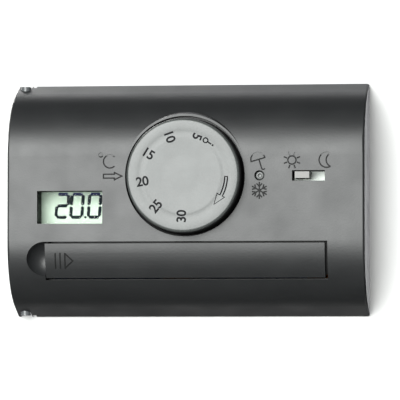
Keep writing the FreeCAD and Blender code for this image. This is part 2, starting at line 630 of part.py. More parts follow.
def slider():
    """The summer-night slider: a slim knob on a pale plate that always fills the slot."""
    left = "(slot_left + knob_left_gap)"
    middle_z = "((slot_low + slot_high) / 2 + 0.25)"
    knob = block("slider_post", (left, f"{left} + knob_width"),
                 (f"{FRONT} + knob_recess", f"{SLIDER_FACE} + slider_plate / 2"),
                 (f"{middle_z} - knob_height / 2", f"{middle_z} + knob_height / 2"))
    plate = block("slider_plate_bar", ("slot_left - slider_travel - 0.5", "slot_right + 0.8"),
                  (SLIDER_FACE, f"{SLIDER_FACE} + slider_plate"), grown(SLIDER_SLOT[1], "1.2"))
    stub = block("slider_stub", (f"{left} + stub_shy", f"{left} + knob_width - stub_shy"),
                 (f"{SLIDER_FACE} + slider_plate - 0.5", f"{BOARD_FRONT} - 2.4"),
                 (f"{middle_z} - 0.9", f"{middle_z} + 0.9"))
    keep("slider_knob", joined("slider_knob", knob, plate, stub))
    case = block("switch_case", ("slot_left - 0.8", "slot_right + 0.4"),
                 (f"{SLIDER_FACE} + slider_plate + 0.6", BOARD_FRONT), grown(SLIDER_SLOT[1], "0.9"))
    channel = block("switch_channel",
                    (f"{left} + stub_shy - fit_gap",
                     f"{left} + knob_width - stub_shy + slider_travel + fit_gap"),
                    (FRONT, f"{BOARD_FRONT} - 2"), (f"{middle_z} - 1.2", f"{middle_z} + 1.2"))
    keep("slide_switch_body", less("slide_switch_body", case, channel))


def season_button():
    """The recessed summer-winter button and the little tact switch behind it."""
    flange = (f"{SLIDER_FACE} + 0.3", f"{SLIDER_FACE} + 1.1")
    pin = rod("button_pin", "button_radius", "Y", (f"{FRONT} + button_recess", f"{flange[0]} + 0.1"),
              BUTTON_CENTRE)
    disc = rod("button_flange", "button_radius + 1", "Y", flange, BUTTON_CENTRE)
    plunger = rod("button_plunger", "button_radius", "Y",
                  (f"{flange[1]} - 0.1", f"{BOARD_FRONT} - switch_height"), BUTTON_CENTRE)
    keep("season_button", joined("season_button", pin, disc, plunger))
    case = block("tact_case", ("button_across - 3", "button_across + 3"),
                 (f"{BOARD_FRONT} - 3.5", BOARD_FRONT),
                 ("button_up - 3", "button_up + 3"))
    well = rod("tact_well", "button_radius + button_gap", "Y",
               (f"{BOARD_FRONT} - 4", f"{BOARD_FRONT} - switch_height + button_stroke + 0.2"), BUTTON_CENTRE)
    keep("season_switch_body", less("season_switch_body", case, well))


# ---------------------------------------------------------------- display

def display():
    """The display cell, its frame, its rubber contact strips and the clear window in front of it."""
    wide, tall = grown(WINDOW[0], "display_margin"), grown(WINDOW[1], "display_margin")
    back = f"({DISPLAY_FACE} + display_thickness)"
    keep("lcd_window", block("lcd_window", grown(WINDOW[0], "lens_lip"),
                             (f"{DISPLAY_FACE} - lens_gap - lens_thickness", f"{DISPLAY_FACE} - lens_gap"),
                             grown(WINDOW[1], "lens_lip")))
    keep("lcd_glass", block("lcd_glass", wide, (DISPLAY_FACE, back), tall))
    frame = block("holder_outside", grown(wide, "strip_gap / 2 + holder_wall"), (DISPLAY_FACE, BOARD_FRONT),
                  grown(tall, "strip_gap / 2 + holder_wall"))
    seat = block("holder_seat", grown(wide, "0.1"), (f"{DISPLAY_FACE} - 1", f"{BOARD_FRONT} + 1"),
                 grown(tall, "0.1"))
    keep("lcd_holder", less("lcd_holder", frame, seat))
    strips = [block(f"strip_{name}", grown(wide, "-1.5"), (back, BOARD_FRONT), pair)
              for name, pair in (("low", (tall[0], f"{tall[0]} + strip_width")),
                                 ("high", (f"{tall[1]} - strip_width", tall[1])))]
    keep("lcd_connector_strips", joined("lcd_connector_strips", *strips))


# ---------------------------------------------------------------- circuit board

def board():
    """The circuit board, cut away over the terminals, with the screws that hold it to the cover."""
    depth = (BOARD_FRONT, BOARD_BACK)
    sheet = block("board_sheet", ("-board_half_width", "board_half_width"), depth,
                  ("-board_bottom", "board_top"))
    notch = block("board_notch", ("board_notch_left", "board_half_width + 1"), grown(depth, "1"),
                  ("board_notch_bottom", "board_top + 1"))
    holes = [rod(f"board_hole_{number}", "board_screw_radius + 0.15", "Y", grown(depth, "1"), place)
             for number, place in enumerate(BOSSES)]
    keep("main_pcb", less("main_pcb", sheet, notch, *holes))
    screws = []
    for number, place in enumerate(BOSSES):
        head = rod(f"board_screw_head_{number}", "board_screw_head", "Y",
                   (BOARD_BACK, f"{BOARD_BACK} + 1.3"), place)
        shank = rod(f"board_screw_shank_{number}", "board_screw_radius", "Y",
                    (f"{BOARD_FRONT} - 4.5", f"{BOARD_BACK} + 0.1"), place)
        cross = [block(f"board_screw_cross_{number}_{way}", grown((place[0], place[0]), wide),
                       (f"{BOARD_BACK} + 0.7", f"{BOARD_BACK} + 2"), grown((place[1], place[1]), tall))
                 for way, wide, tall in (("level", "1.1", "0.22"), ("upright", "0.22", "1.1"))]
        whole = joined(f"board_screw_solid_{number}", head, shank)
        screws.append(less(f"board_screw_{number}", whole, *cross))
    keep("pcb_screws", joined("pcb_screws", *screws))


RELAY = (("-41", "-21"), ("11.5", "21.5"))
CHIP = (("-20", "-12"), ("-10.5", "-2.5"))
CHIP_LEG_ROWS = (("-21.2", "-19.9"), ("-12.1", "-10.8"))
CHIP_LEG_FIRST, CHIP_LEG_PITCH, CHIP_LEG_WIDTH = -9.9, 0.97, 0.4
CRYSTAL_SPAN, CRYSTAL_ACROSS = ("14.5", "20.5"), "-11"
CAPACITOR_CENTRE = ("28", "-8")
RESISTOR_FIRST, RESISTOR_PITCH, RESISTOR_WIDTH = 32, 4, 2
RESISTOR_HEIGHT = ("-10", "-6.8")
SENSOR_ACROSS, SENSOR_UP, SENSOR_LEG_OFFSET = "49.2", "-9", "0.6"


def board_parts():
    """The larger components soldered to the board."""
    keep("relay", block("relay", RELAY[0], (f"{BOARD_FRONT} - relay_height", BOARD_FRONT), RELAY[1]))
    chip = block("chip_case", CHIP[0], (f"{BOARD_FRONT} - 1.6", f"{BOARD_FRONT} - 0.15"), CHIP[1])
    keep("microcontroller", joined("microcontroller", chip, *chip_legs()))
    keep("crystal", rod("crystal", "crystal_radius", "Z", CRYSTAL_SPAN,
                        (CRYSTAL_ACROSS, f"{BOARD_FRONT} - crystal_radius")))
    keep("capacitor", rod("capacitor", "capacitor_radius", "Y",
                          (f"{BOARD_FRONT} - capacitor_height", BOARD_FRONT), CAPACITOR_CENTRE))
    resistors = []
    for number in range(4):
        left = RESISTOR_FIRST + RESISTOR_PITCH * number
        resistors.append(block(f"resistor_{number}", (f"{left}", f"{left + RESISTOR_WIDTH}"),
                               (f"{BOARD_FRONT} - 0.6", BOARD_FRONT), RESISTOR_HEIGHT))
    keep("resistors", joined("resistors", *resistors))
    keep("temperature_sensor", sensor())
    keep("potentiometer_body", potentiometer())
    keep("contact_socket", socket())


def sensor():
    """The temperature sensor: a bead that two legs hold off the board in the room's air."""
    bead = doc.addObject("Part::Sphere", "sensor_bead")
    bind(bead, "Radius", "sensor_radius")
    for place, text in (("x", SENSOR_ACROSS), ("y", f"{BOARD_FRONT} - sensor_height"), ("z", SENSOR_UP)):
        bind(bead, "Placement.Base." + place, text)
    legs = [rod(f"sensor_leg_{name}", "0.25", "Y", (f"{BOARD_FRONT} - sensor_height", BOARD_FRONT),
                (f"{SENSOR_ACROSS} {sign} {SENSOR_LEG_OFFSET}", SENSOR_UP))
            for name, sign in (("left", "-"), ("right", "+"))]
    return joined("temperature_sensor", bead, *legs)


def chip_legs():
    """Two rows of gull legs along the chip's sides."""
    legs = []
    for row, across in enumerate(CHIP_LEG_ROWS):
        for number in range(8):
            low = CHIP_LEG_FIRST + CHIP_LEG_PITCH * number
            legs.append(block(f"chip_leg_{row}_{number}", across, (f"{BOARD_FRONT} - 0.35", BOARD_FRONT),
                              (f"{low}", f"{low + CHIP_LEG_WIDTH:.2f}")))
    return legs


def potentiometer():
    """The set-point potentiometer, a square case with a threaded nose round the shaft."""
    case = block("pot_case", ("-pot_half_width", "pot_half_width"),
                 (f"{BOARD_FRONT} - pot_height", BOARD_FRONT),
                 ("dial_height - pot_half_width", "dial_height + pot_half_width"))
    nose = rod("pot_nose", "shaft_radius + 0.7", "Y",
               (f"{BOARD_FRONT} - pot_nose_height", f"{BOARD_FRONT} - pot_height + 0.1"), DIAL_CENTRE)
    bore = rod("pot_bore", "shaft_radius + 0.05", "Y", (f"{BOARD_FRONT} - 9", f"{BOARD_FRONT} - 1"),
               DIAL_CENTRE)
    return less("potentiometer_body", joined("pot_solid", case, nose), bore)


def socket():
    """The three-way socket behind the board that plugs onto the base's blades."""
    low, high = f"{blade_z(0)} - blade_width / 2 - 1", f"{blade_z(2)} + blade_width / 2 + 1"
    case = block("socket_case", ("blade_across - socket_half_width", "blade_across + socket_half_width"),
                 (BOARD_BACK, f"{BASE_TOP} - 1.8"), (low, high))
    half = "(blade_thickness / 2 + 0.1)"
    slits = [block(f"socket_slit_{name}", (f"blade_across - {half}", f"blade_across + {half}"),
                   (f"{BOARD_BACK} + 0.3", "0"),
                   grown((blade_z(number), blade_z(number)), "blade_width / 2 + 0.1"))
             for number, name in enumerate(TERMINALS)]
    return less("contact_socket", case, *slits)


# ---------------------------------------------------------------- battery drawer

TRAY_INSIDE = ("-battery_low - battery_radius - tray_gap", "-battery_low + battery_radius + tray_gap")


def battery_tray():
    """The trough for two slim cells laid end to end."""
    floor = f"{BATTERY_Y} + battery_radius + 0.05"
    rim = f"{BATTERY_Y} - battery_radius + 2"
    outside = block("tray_outside", grown(("-tray_half_length", "tray_half_length"), "tray_wall"),
                    (rim, f"{floor} + tray_wall"), grown(TRAY_INSIDE, "tray_wall"))
    inside = block("tray_inside", ("-tray_half_length", "tray_half_length"), (f"{rim} - 1", floor),
                   TRAY_INSIDE)
    fitted = shared("tray_fitted", outside, section_block("tray_limit", "shell_wall + fit_gap"))
    slits = [block(f"tray_slit_{name}", pair, (f"{BOARD_FRONT} - 0.2", BOARD_BACK), ("-battery_low", "-5"))
             for name, pair in (("left", ("-tray_half_length", "-tray_half_length + 0.5")),
                                ("right", ("tray_half_length - 0.5", "tray_half_length")))]
    keep("battery_tray", less("battery_tray", fitted, inside, *slits))


def battery(name, left):
    """A slim cell with its raised contact at the right-hand end."""
    centre = (BATTERY_Y, "-battery_low")
    can = rod(name + "_can", "battery_radius", "X", (left, f"{left} + battery_length - nub_length"), centre)
    nub = rod(name + "_nub", "nub_radius", "X",
              (f"{left} + battery_length - nub_length - 0.2", f"{left} + battery_length"), centre)
    keep(name, joined(name, can, nub))


def contact(name, low, high):
    """A contact's upright plate, with a leg that is soldered to the board's lower edge."""
    plate = block(name + "_upright", (low, high), (f"{BATTERY_Y} - 3.5", f"{BATTERY_Y} + 4.2"),
                  ("-battery_low - 4", "-battery_low + 4"))
    leg = block(name + "_leg", (low, high), (BOARD_FRONT, f"{BOARD_BACK} - 0.1"),
                ("-battery_low", "-board_bottom"))
    return joined(name, plate, leg)


def batteries_and_contacts():
    """Two cells in series between a coil spring and a flat contact."""
    right_end = "(tray_half_length - contact_plate_thickness)"
    battery("battery_right", f"({right_end} - battery_length)")
    battery("battery_left", f"({right_end} - 2 * battery_length)")
    keep("contact_plate", contact("contact_plate", right_end, "tray_half_length"))
    plate = contact("spring_plate", "-tray_half_length", "-tray_half_length + contact_plate_thickness")
    doc.recompute()
    start = value("-tray_half_length + contact_plate_thickness")
    stop = value("tray_half_length - contact_plate_thickness - 2 * battery_length")
    wire = value("spring_wire")
    length = stop - start - 0.8 * wire
    turns = 4
    helix = Part.makeHelix(length / turns, length, value("spring_radius"))
    profile = Part.Wire([Part.makeCircle(wire / 2, FreeCAD.Vector(value("spring_radius"), 0, 0), Y)])
    coil = Part.Wire(helix).makePipeShell([profile], True, True)
    spring = doc.addObject("Part::Feature", "spring_coil")
    spring.Shape = coil
    spring.Placement = FreeCAD.Placement(
        FreeCAD.Vector(start + 0.25 * wire, value(BATTERY_Y), -value("battery_low")), TURN_TO["X"])
    keep("contact_spring", joined("contact_spring", plate, spring))


LEAF_SPAN = ("(lid_right - 11.3)", "(lid_right - 2.3)")
LEAF_BACK = "(-shell_depth + cell_depth - 1.15)"


def battery_cover():
    """The curved lid over the cells, flush with the case, and the leaf spring under its right end."""
    outer = section_block("lid_outer")
    inner = section_block("lid_inner", "lid_thickness", "shell_width")
    outline = block("lid_outline", ("-lid_left", "lid_right"), (f"{FRONT} - 1", "-1"),
                    ("-lid_bottom", "-lid_top"))
    plate = shared("lid_plate", less("lid_band", outer, inner), outline)
    middle_z = "(-(lid_top + lid_bottom) / 2)"
    rails = [block(f"lid_rail_{name}", grown(LEAF_SPAN, "0.5"),
                   (f"{FRONT} + 0.5", f"{LEAF_BACK} + 0.3"), pair)
             for name, pair in (("high", (f"{middle_z} + rail_offset", f"{middle_z} + rail_offset + 1")),
                                ("low", (f"{middle_z} - rail_offset - 1", f"{middle_z} - rail_offset")))]
    rails_fit = shared("lid_rails", joined("lid_rail_bars", *rails), section_block("lid_rail_limit", "1"))
    collar_room = rod("lid_collar_room", f"{HOLE_RADIUS} + collar_land + fit_gap", "Y",
                      (f"{FRONT} - 1", "-1"), DIAL_CENTRE)
    body = less("lid_body", joined("lid_solid", plate, rails_fit), collar_room)
    cutter = doc.addObject("Part::Feature", "lid_mark_cutter")
    left, middle, back = -value("lid_left"), -value("battery_low"), value("-shell_depth + lid_mark_reach")
    low, high = middle - 2.2, middle + 2.2
    bars = [stroke(back, (left + across, low), (left + across, high)) for across in (3.2, 4.7)]
    arrow = stroke(back, (left + 6.2, low), (left + 6.2, high), (left + 8.6, middle), (left + 6.2, low))
    cutter.Shape = arrow[0].multiFuse(arrow[1:] + bars[0] + bars[1])
    floor = section_block("lid_mark_floor", "mark_depth")
    keep("battery_cover", less("battery_cover", body, less("lid_marks", cutter, floor)))
    width = grown((middle_z, middle_z), "rail_offset - leaf_gap")
    leaf = block("leaf", LEAF_SPAN, (f"{LEAF_BACK} - 0.3", LEAF_BACK), width)
    foot = block("leaf_foot", (f"{LEAF_SPAN[1]} - 2", LEAF_SPAN[1]),
                 (f"{LEAF_BACK} - 0.3", f"{LEAF_BACK} + 0.6"), grown(width, "-1"))
    keep("cover_spring_tongue", joined("cover_spring_tongue", leaf, foot))


# ---------------------------------------------------------------- build, check and write

def check_everything():
    """Stops if a feature failed or a sub-part's solid isn't sound."""
    doc.recompute()
    for thing in doc.Objects:
        if "Invalid" in thing.State or "Error" in thing.State:
            raise RuntimeError(f"{thing.Label} failed: {thing.State}")
    for part in sub_parts:
        if part.Shape.isNull() or not part.Shape.isValid() or part.Shape.Volume <= 0:
            raise RuntimeError(f"{part.Label} isn't a sound solid")


def write_parts():
    os.makedirs("parts", exist_ok=True)
    for part in sub_parts:
        part.Shape.exportStep(os.path.join("parts", part.Label + ".step"))
        print(f"{part.Label}: {len(part.Shape.Solids)} solid(s), {part.Shape.Volume:.1f} mm3")


fill_sheet()
wall_base()
terminals()
front_cover()
dial()
slider()
season_button()
display()
board()
board_parts()
battery_tray()
batteries_and_contacts()
battery_cover()
check_everything()
write_parts()
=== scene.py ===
import math

import bmesh
import bpy
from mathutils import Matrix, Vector


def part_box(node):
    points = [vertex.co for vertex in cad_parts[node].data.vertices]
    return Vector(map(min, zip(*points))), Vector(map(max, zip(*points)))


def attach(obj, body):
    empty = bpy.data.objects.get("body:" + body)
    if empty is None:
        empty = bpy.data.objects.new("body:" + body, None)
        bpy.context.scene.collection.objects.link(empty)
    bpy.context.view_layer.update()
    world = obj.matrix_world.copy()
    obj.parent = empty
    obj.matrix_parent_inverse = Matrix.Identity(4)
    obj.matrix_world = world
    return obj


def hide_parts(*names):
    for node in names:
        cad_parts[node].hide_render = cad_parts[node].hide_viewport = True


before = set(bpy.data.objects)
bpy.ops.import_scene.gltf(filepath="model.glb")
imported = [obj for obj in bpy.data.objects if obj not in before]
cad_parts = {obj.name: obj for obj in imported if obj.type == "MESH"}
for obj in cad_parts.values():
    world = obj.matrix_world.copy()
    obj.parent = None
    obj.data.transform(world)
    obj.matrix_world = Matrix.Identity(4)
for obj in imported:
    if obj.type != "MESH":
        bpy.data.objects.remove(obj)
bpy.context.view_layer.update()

# ---- Case front and battery lid ------------------------------------------------------------------
# Two injection mouldings in graphite ABS, clipped together without screws.  Their tools were
# spark-eroded, which leaves an even frost: it spreads the reflection over the flat front and lets
# the round shoulders fall away softly into the dark.


def linear(code):
    """An sRGB hex colour as the linear colour that a shader takes."""
    channels = [int(code[start:start + 2], 16) / 255 for start in (1, 3, 5)]
    return [c / 12.92 if c <= 0.04045 else ((c + 0.055) / 1.055) ** 2.4 for c in channels] + [1.0]


def add_node(material, kind, inputs=None, **settings):
    """Adds a shader node. Each input is a constant, or the output that it is linked from."""
    tree = material.node_tree
    made = tree.nodes.new("ShaderNode" + kind)
    for name, setting in settings.items():
        setattr(made, name, setting)
    for name, source in (inputs or {}).items():
        if isinstance(source, bpy.types.NodeSocket):
            tree.links.new(source, made.inputs[name])
        else:
            made.inputs[name].default_value = source
    return made


def new_material(name, **sockets):
    """A material with the shader's own sockets set; gives it, its shader and Object coordinates."""
    material = bpy.data.materials.new(name)
    material.use_nodes = True
    shader = material.node_tree.nodes["Principled BSDF"]
    for socket, setting in sockets.items():
        shader.inputs[socket.replace("_", " ")].default_value = setting
    return material, shader, add_node(material, "TexCoord").outputs["Object"]


def wire(material, shader, **sources):
    """Links outputs into the shader's sockets."""
    for socket, source in sources.items():
        material.node_tree.links.new(source, shader.inputs[socket.replace("_", " ")])


MELT_FLOW = 0.018
HANDLING_MARKS = 0.009
GLOSS_SPREAD = 0.07


def moulded_plastic(name, dark, light, gloss, grain, relief):
    """Moulded plastic: tone drifts with the flow of the melt, gloss with handling; grain is in metres."""
    material, shader, place = new_material(name)
    flow = add_node(material, "TexNoise", {"Vector": place, "Scale": 1 / MELT_FLOW, "Detail": 2.0})
    tone = add_node(material, "MixRGB", {"Fac": flow.outputs["Fac"], "Color1": linear(dark),
                                         "Color2": linear(light)})
    skin = add_node(material, "TexNoise", {"Vector": place, "Scale": 1 / grain, "Detail": 3.0})
    handling = add_node(material, "TexNoise", {"Vector": place, "Scale": 1 / HANDLING_MARKS, "Detail": 6.0})
    frost = add_node(material, "MapRange", {"Value": handling.outputs["Fac"], "To Min": gloss - GLOSS_SPREAD,
                                            "To Max": gloss + GLOSS_SPREAD})
    bump = add_node(material, "Bump", {"Height": skin.outputs["Fac"], "Strength": 0.5,
                                       "Distance": relief})
    wire(material, shader, Base_Color=tone.outputs["Color"], Roughness=frost.outputs["Result"],
         Normal=bump.outputs["Normal"])
    return material


def coat(material, *nodes):
    """Gives CAD nodes a finish."""
    for name in nodes:
        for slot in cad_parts[name].material_slots:
            slot.material = material


def even_shading(*nodes):
    """Shades each CAD node's flats as flat right up to the rounds that they run into."""
    for name in nodes:
        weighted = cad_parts[name].modifiers.new("even_shading", "WEIGHTED_NORMAL")
        weighted.mode = "FACE_AREA"
        weighted.weight = 100
        weighted.keep_sharp = True


def shade_where(material, inside, colour, gloss):
    """Gives a material another colour and gloss where a mask is 1; elsewhere they stay as they were."""
    shader = material.node_tree.nodes["Principled BSDF"]
    tone_before = shader.inputs["Base Color"].links[0].from_socket
    gloss_before = shader.inputs["Roughness"].links[0].from_socket
    tone = add_node(material, "MixRGB", {"Fac": inside, "Color1": tone_before, "Color2": linear(colour)})
    rough = add_node(material, "MapRange", {"Value": inside, "To Min": gloss_before, "To Max": gloss})
    wire(material, shader, Base_Color=tone.outputs["Color"], Roughness=rough.outputs["Result"])


def where_all(material, *masks):
    """A mask that is 1 only where all of the masks are."""
    result = masks[0]
    for mask in masks[1:]:
        result = add_node(material, "Math", {0: result, 1: mask}, operation="MULTIPLY").outputs["Value"]
    return result


def place_on(material):
    """The Object coordinates that a material already reads."""
    return material.node_tree.nodes["Texture Coordinate"].outputs["Object"]


# Spark-eroded ABS: grains of about 0.3 mm, drawn as 0.5 mm so that they show, under a soft sheen.
# The engraved symbols' floors were cut by a fine ball cutter and stay dull; they, and all of the flat front
# that lies deeper than them, are painted darker as the shade in these recesses.
GRAPHITE_DARK, GRAPHITE_LIGHT = "#191a1b", "#1e1f20"
GRAPHITE = {"gloss": 0.47, "grain": 0.0005, "relief": 0.00005}
ENGRAVED_DEPTH = 0.00015
FLAT_HALF_HEIGHT = 0.013
FLAT_MARGIN, END_MARGIN = 0.0001, 0.0015
case_low, case_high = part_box("front_cover")
case_abs = moulded_plastic("graphite_abs_spark_eroded", GRAPHITE_DARK, GRAPHITE_LIGHT, **GRAPHITE)
case_place = add_node(case_abs, "SeparateXYZ", {"Vector": place_on(case_abs)})
below_front = add_node(case_abs, "Math", {0: case_place.outputs["Y"], 1: case_low.y + ENGRAVED_DEPTH},
                       operation="GREATER_THAN")
on_flat = add_node(case_abs, "Math", {0: case_place.outputs["Z"], 1: 0.0,
                                      2: FLAT_HALF_HEIGHT - FLAT_MARGIN}, operation="COMPARE")
off_ends = add_node(case_abs, "Math", {0: case_place.outputs["X"], 1: 0.0, 2: case_high.x - END_MARGIN},
                    operation="COMPARE")
# Painted shade: everything on the flat front deeper than the engraving's floor is coloured near-black.
recess_painted_shade = where_all(case_abs, below_front.outputs["Value"], on_flat.outputs["Value"],
                     off_ends.outputs["Value"])
shade_where(case_abs, recess_painted_shade, "#0d0d0e", 0.8)

# The edges and ledges of the lid's opening, under the lower shoulder, are dull and painted near-black as the
# shade that they lie in.
SHOULDER_RADIUS = 0.0215
SHOULDER_MIDDLE = (case_low.y + SHOULDER_RADIUS, -FLAT_HALF_HEIGHT)
OPENING_DEPTH = 0.0003
OPENING_GAP_LEFT, OPENING_GAP_RIGHT = 0.0003, 0.001
lid_low, lid_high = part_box("battery_cover")
opening_left, opening_right = lid_low.x - OPENING_GAP_LEFT, lid_high.x + OPENING_GAP_RIGHT


def below_shoulder(material, place, depth):
    """A mask that is 1 deeper than a depth under the lower round shoulder, from split coordinates."""
    outward = add_node(material, "Math", {0: place.outputs["Y"], 1: SHOULDER_MIDDLE[0]},
                       operation="SUBTRACT")
    downward = add_node(material, "Math", {0: place.outputs["Z"], 1: SHOULDER_MIDDLE[1]},
                        operation="SUBTRACT")
    spoke = add_node(material, "CombineXYZ", {"Y": outward.outputs["Value"], "Z": downward.outputs["Value"]})
    length = add_node(material, "VectorMath", {0: spoke.outputs["Vector"]}, operation="LENGTH")
    deep = add_node(material, "Math", {0: length.outputs["Value"], 1: SHOULDER_RADIUS - depth},
                    operation="LESS_THAN")
    low = add_node(material, "Math", {0: place.outputs["Z"], 1: SHOULDER_MIDDLE[1]}, operation="LESS_THAN")
    return where_all(material, deep.outputs["Value"], low.outputs["Value"])


in_opening = add_node(case_abs, "Math", {0: case_place.outputs["X"], 1: (opening_left + opening_right) / 2,
                                         2: (opening_right - opening_left) / 2}, operation="COMPARE")
opening = where_all(case_abs, below_shoulder(case_abs, case_place, OPENING_DEPTH),
                    in_opening.outputs["Value"])
# Painted shade over the sunk edges and ledges of the lid's opening.
shade_where(case_abs, opening, "#060606", 0.85)
coat(case_abs, "front_cover")

# The lid comes from the same set of tools; its engraved pull mark lies on the round shoulder and is painted
# near-black as the shade in its grooves.
PULL_MARK_MIDDLE, PULL_MARK_HALF_WIDTH = 0.0055, 0.0045
lid_abs = moulded_plastic("graphite_abs_lid", GRAPHITE_DARK, GRAPHITE_LIGHT, **GRAPHITE)
lid_place = add_node(lid_abs, "SeparateXYZ", {"Vector": place_on(lid_abs)})
near_mark = add_node(lid_abs, "Math", {0: lid_place.outputs["X"], 1: lid_low.x + PULL_MARK_MIDDLE,
                                       2: PULL_MARK_HALF_WIDTH}, operation="COMPARE")
pull_mark_painted_shade = where_all(lid_abs, below_shoulder(lid_abs, lid_place, ENGRAVED_DEPTH),
                      near_mark.outputs["Value"])
# Painted shade in the pull mark's grooves.
shade_where(lid_abs, pull_mark_painted_shade, "#040404", 0.9)
coat(lid_abs, "battery_cover")
even_shading("front_cover", "battery_cover")

# ---- Wall base -----------------------------------------------------------------------------------
# The tray that is screwed to the wall, moulded in the same graphite ABS from a plainer tool, with
# the two snap lugs that the front clips over, whose tips are smoother and painted pale as a highlight.
base_abs = moulded_plastic("graphite_abs_plain_tool", "#262729", "#2d2e30", gloss=0.5,
                           grain=0.0007, relief=0.000008)
LUG_REACH, LUG_TIP = 0.0046, 0.0022
base_low, base_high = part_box("wall_base")
base_place = add_node(base_abs, "SeparateXYZ", {"Vector": place_on(base_abs)})
from_middle = add_node(base_abs, "Math", {0: base_place.outputs["Z"]}, operation="ABSOLUTE")
near_edge = add_node(base_abs, "Math", {0: from_middle.outputs["Value"], 1: base_high.z - LUG_TIP},
                     operation="GREATER_THAN")
on_left = add_node(base_abs, "Math", {0: base_place.outputs["X"], 1: base_low.x + LUG_REACH},
                   operation="LESS_THAN")
lug_tips_painted_highlight = where_all(base_abs, near_edge.outputs["Value"], on_left.outputs["Value"])
# Painted highlight: the lug tips are coloured pale grey for the light that they catch.
shade_where(base_abs, lug_tips_painted_highlight, "#4d4f51", 0.34)
coat(base_abs, "wall_base")
even_shading("wall_base")

# ---- Dial ----------------------------------------------------------------------------------------
# A hollow set-point knob in grey ABS, pushed onto the flatted shaft.  Its face is dished for a
# fingertip and sprayed satin silver-grey; the skirt is painted near-black as the shade that it lies in.
dial_low, dial_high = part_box("dial_knob")
dial_centre = (dial_low + dial_high) / 2
dial_radius = (dial_high.x - dial_low.x) / 2
DIAL_DRAFT = 0.00055
DIAL_WALL = 0.0018
# The hub stops this far short of the skirt, and its bore this far short of the face's wall.
HUB_RADIUS, BORE_RADIUS, HUB_SHY = 0.0055, 0.003, 0.0006
RIM_ROUND = 0.0008
# A point this near to a plane counts as on it.
ON_PLANE = 0.000001
# The face's shallow rings, from the rim in: the radius and the depth of each.
FACE_RINGS = ((0.0138, 0.00003), (0.0136, 0.00006), (0.0121, 0.00006), (0.0118, 0.00002),
              (0.0114, 0.00003), (0.0068, 0.00008), (0.0055, 0.00013), (0.0042, 0.00009),
              (0.0005, 0.00007))


def start_piece(name):
    """Names the object that an operator has just made."""
    made = bpy.context.object
    made.name = made.data.name = name
    return made


def drop_selection():
    """Deselects every object."""
    bpy.ops.object.select_all(action="DESELECT")


def pick_edges(piece, test):
    """In edit mode, selects just the edges whose two ends both pass a test of a point."""
    bpy.ops.mesh.select_all(action="DESELECT")
    bpy.ops.mesh.select_mode(type="EDGE")
    edited = bmesh.from_edit_mesh(piece.data)
    for edge in edited.edges:
        edge.select_set(all(test(vertex.co) for vertex in edge.verts))
    bmesh.update_edit_mesh(piece.data)


def push(x=0.0, y=0.0, z=0.0):
    """Extrudes what is selected."""
    bpy.ops.mesh.extrude_region_move(TRANSFORM_OT_translate={"value": (x, y, z)})


def smooth(piece, degrees=35.0):
    """Shades the piece smooth, apart from edges sharper than the angle."""
    drop_selection()
    piece.select_set(True)
    bpy.context.view_layer.objects.active = piece
    bpy.ops.object.shade_smooth_by_angle(angle=math.radians(degrees))


def settle(piece):
    """Puts the piece's place into its mesh."""
    drop_selection()
    piece.select_set(True)
    bpy.context.view_layer.objects.active = piece
    bpy.ops.object.transform_apply(location=True, rotation=True, scale=True)


def turned(name, centre, profile, sides):
    """A turned piece on an axis along Y: a disc, extruded and scaled to each (radius, y) in turn."""
    drop_selection()
    radius, plane = profile[0]
    bpy.ops.mesh.primitive_circle_add(vertices=sides, radius=radius, fill_type="NGON",
                                      location=(centre.x, plane, centre.z), rotation=(math.pi / 2, 0, 0))
    piece = start_piece(name)
    settle(piece)
    bpy.ops.object.mode_set(mode="EDIT")
    bpy.ops.mesh.select_mode(type="FACE")
    bpy.ops.mesh.select_all(action="SELECT")
    for next_radius, next_plane in profile[1:]:
        push(y=next_plane - plane)
        scale = next_radius / radius
        bpy.ops.transform.resize(value=(scale, 1, scale), center_override=(centre.x, next_plane, centre.z))
        radius, plane = next_radius, next_plane
    bpy.ops.mesh.select_all(action="SELECT")
    bpy.ops.mesh.normals_make_consistent(inside=False)
    bpy.ops.object.mode_set(mode="OBJECT")
    return piece


def round_edges(piece, test, radius, segments):
    """Bevels the edges whose ends pass a test."""
    drop_selection()
    bpy.context.view_layer.objects.active = piece
    bpy.ops.object.mode_set(mode="EDIT")
    pick_edges(piece, test)
    bpy.ops.mesh.bevel(offset=radius, segments=segments, affect="EDGES")
    bpy.ops.object.mode_set(mode="OBJECT")


face = dial_low.y
skirt = dial_high.y
rim = dial_radius - DIAL_DRAFT
inside = face + DIAL_WALL
dial = turned("dial_dished_knob", dial_centre, [
    (BORE_RADIUS, inside + HUB_SHY), (BORE_RADIUS, skirt - HUB_SHY), (HUB_RADIUS, skirt - HUB_SHY),
    (HUB_RADIUS, inside), (rim - DIAL_WALL, inside), (dial_radius - DIAL_WALL, skirt),
    (dial_radius, skirt), (rim, face)] + [(radius, face + depth) for radius, depth in FACE_RINGS], sides=192)
round_edges(dial, lambda point: point.y < face + ON_PLANE, RIM_ROUND, segments=7)
smooth(dial)

# Satin lacquer over grey ABS: the face is even and pale with a soft sheen; the skirt is painted darker as
# shade.
SKIRT_SHADE_RAMP = (0.0005, 0.0008)
LACQUER_CLOUD, LACQUER_MIST = 0.006, 0.00045
dial_finish, shader, place = new_material("abs_satin_lacquered_face", IOR=1.5)
height = add_node(dial_finish, "SeparateXYZ", {"Vector": place})
edge = add_node(dial_finish, "MapRange", {"Value": height.outputs["Y"], "From Min": face + SKIRT_SHADE_RAMP[0],
                                          "From Max": face + SKIRT_SHADE_RAMP[1]})
cloud = add_node(dial_finish, "TexNoise", {"Vector": place, "Scale": 1 / LACQUER_CLOUD, "Detail": 2.0})
lacquer = add_node(dial_finish, "MixRGB", {"Fac": cloud.outputs["Fac"], "Color1": linear("#2e3130"),
                                           "Color2": linear("#454847")})
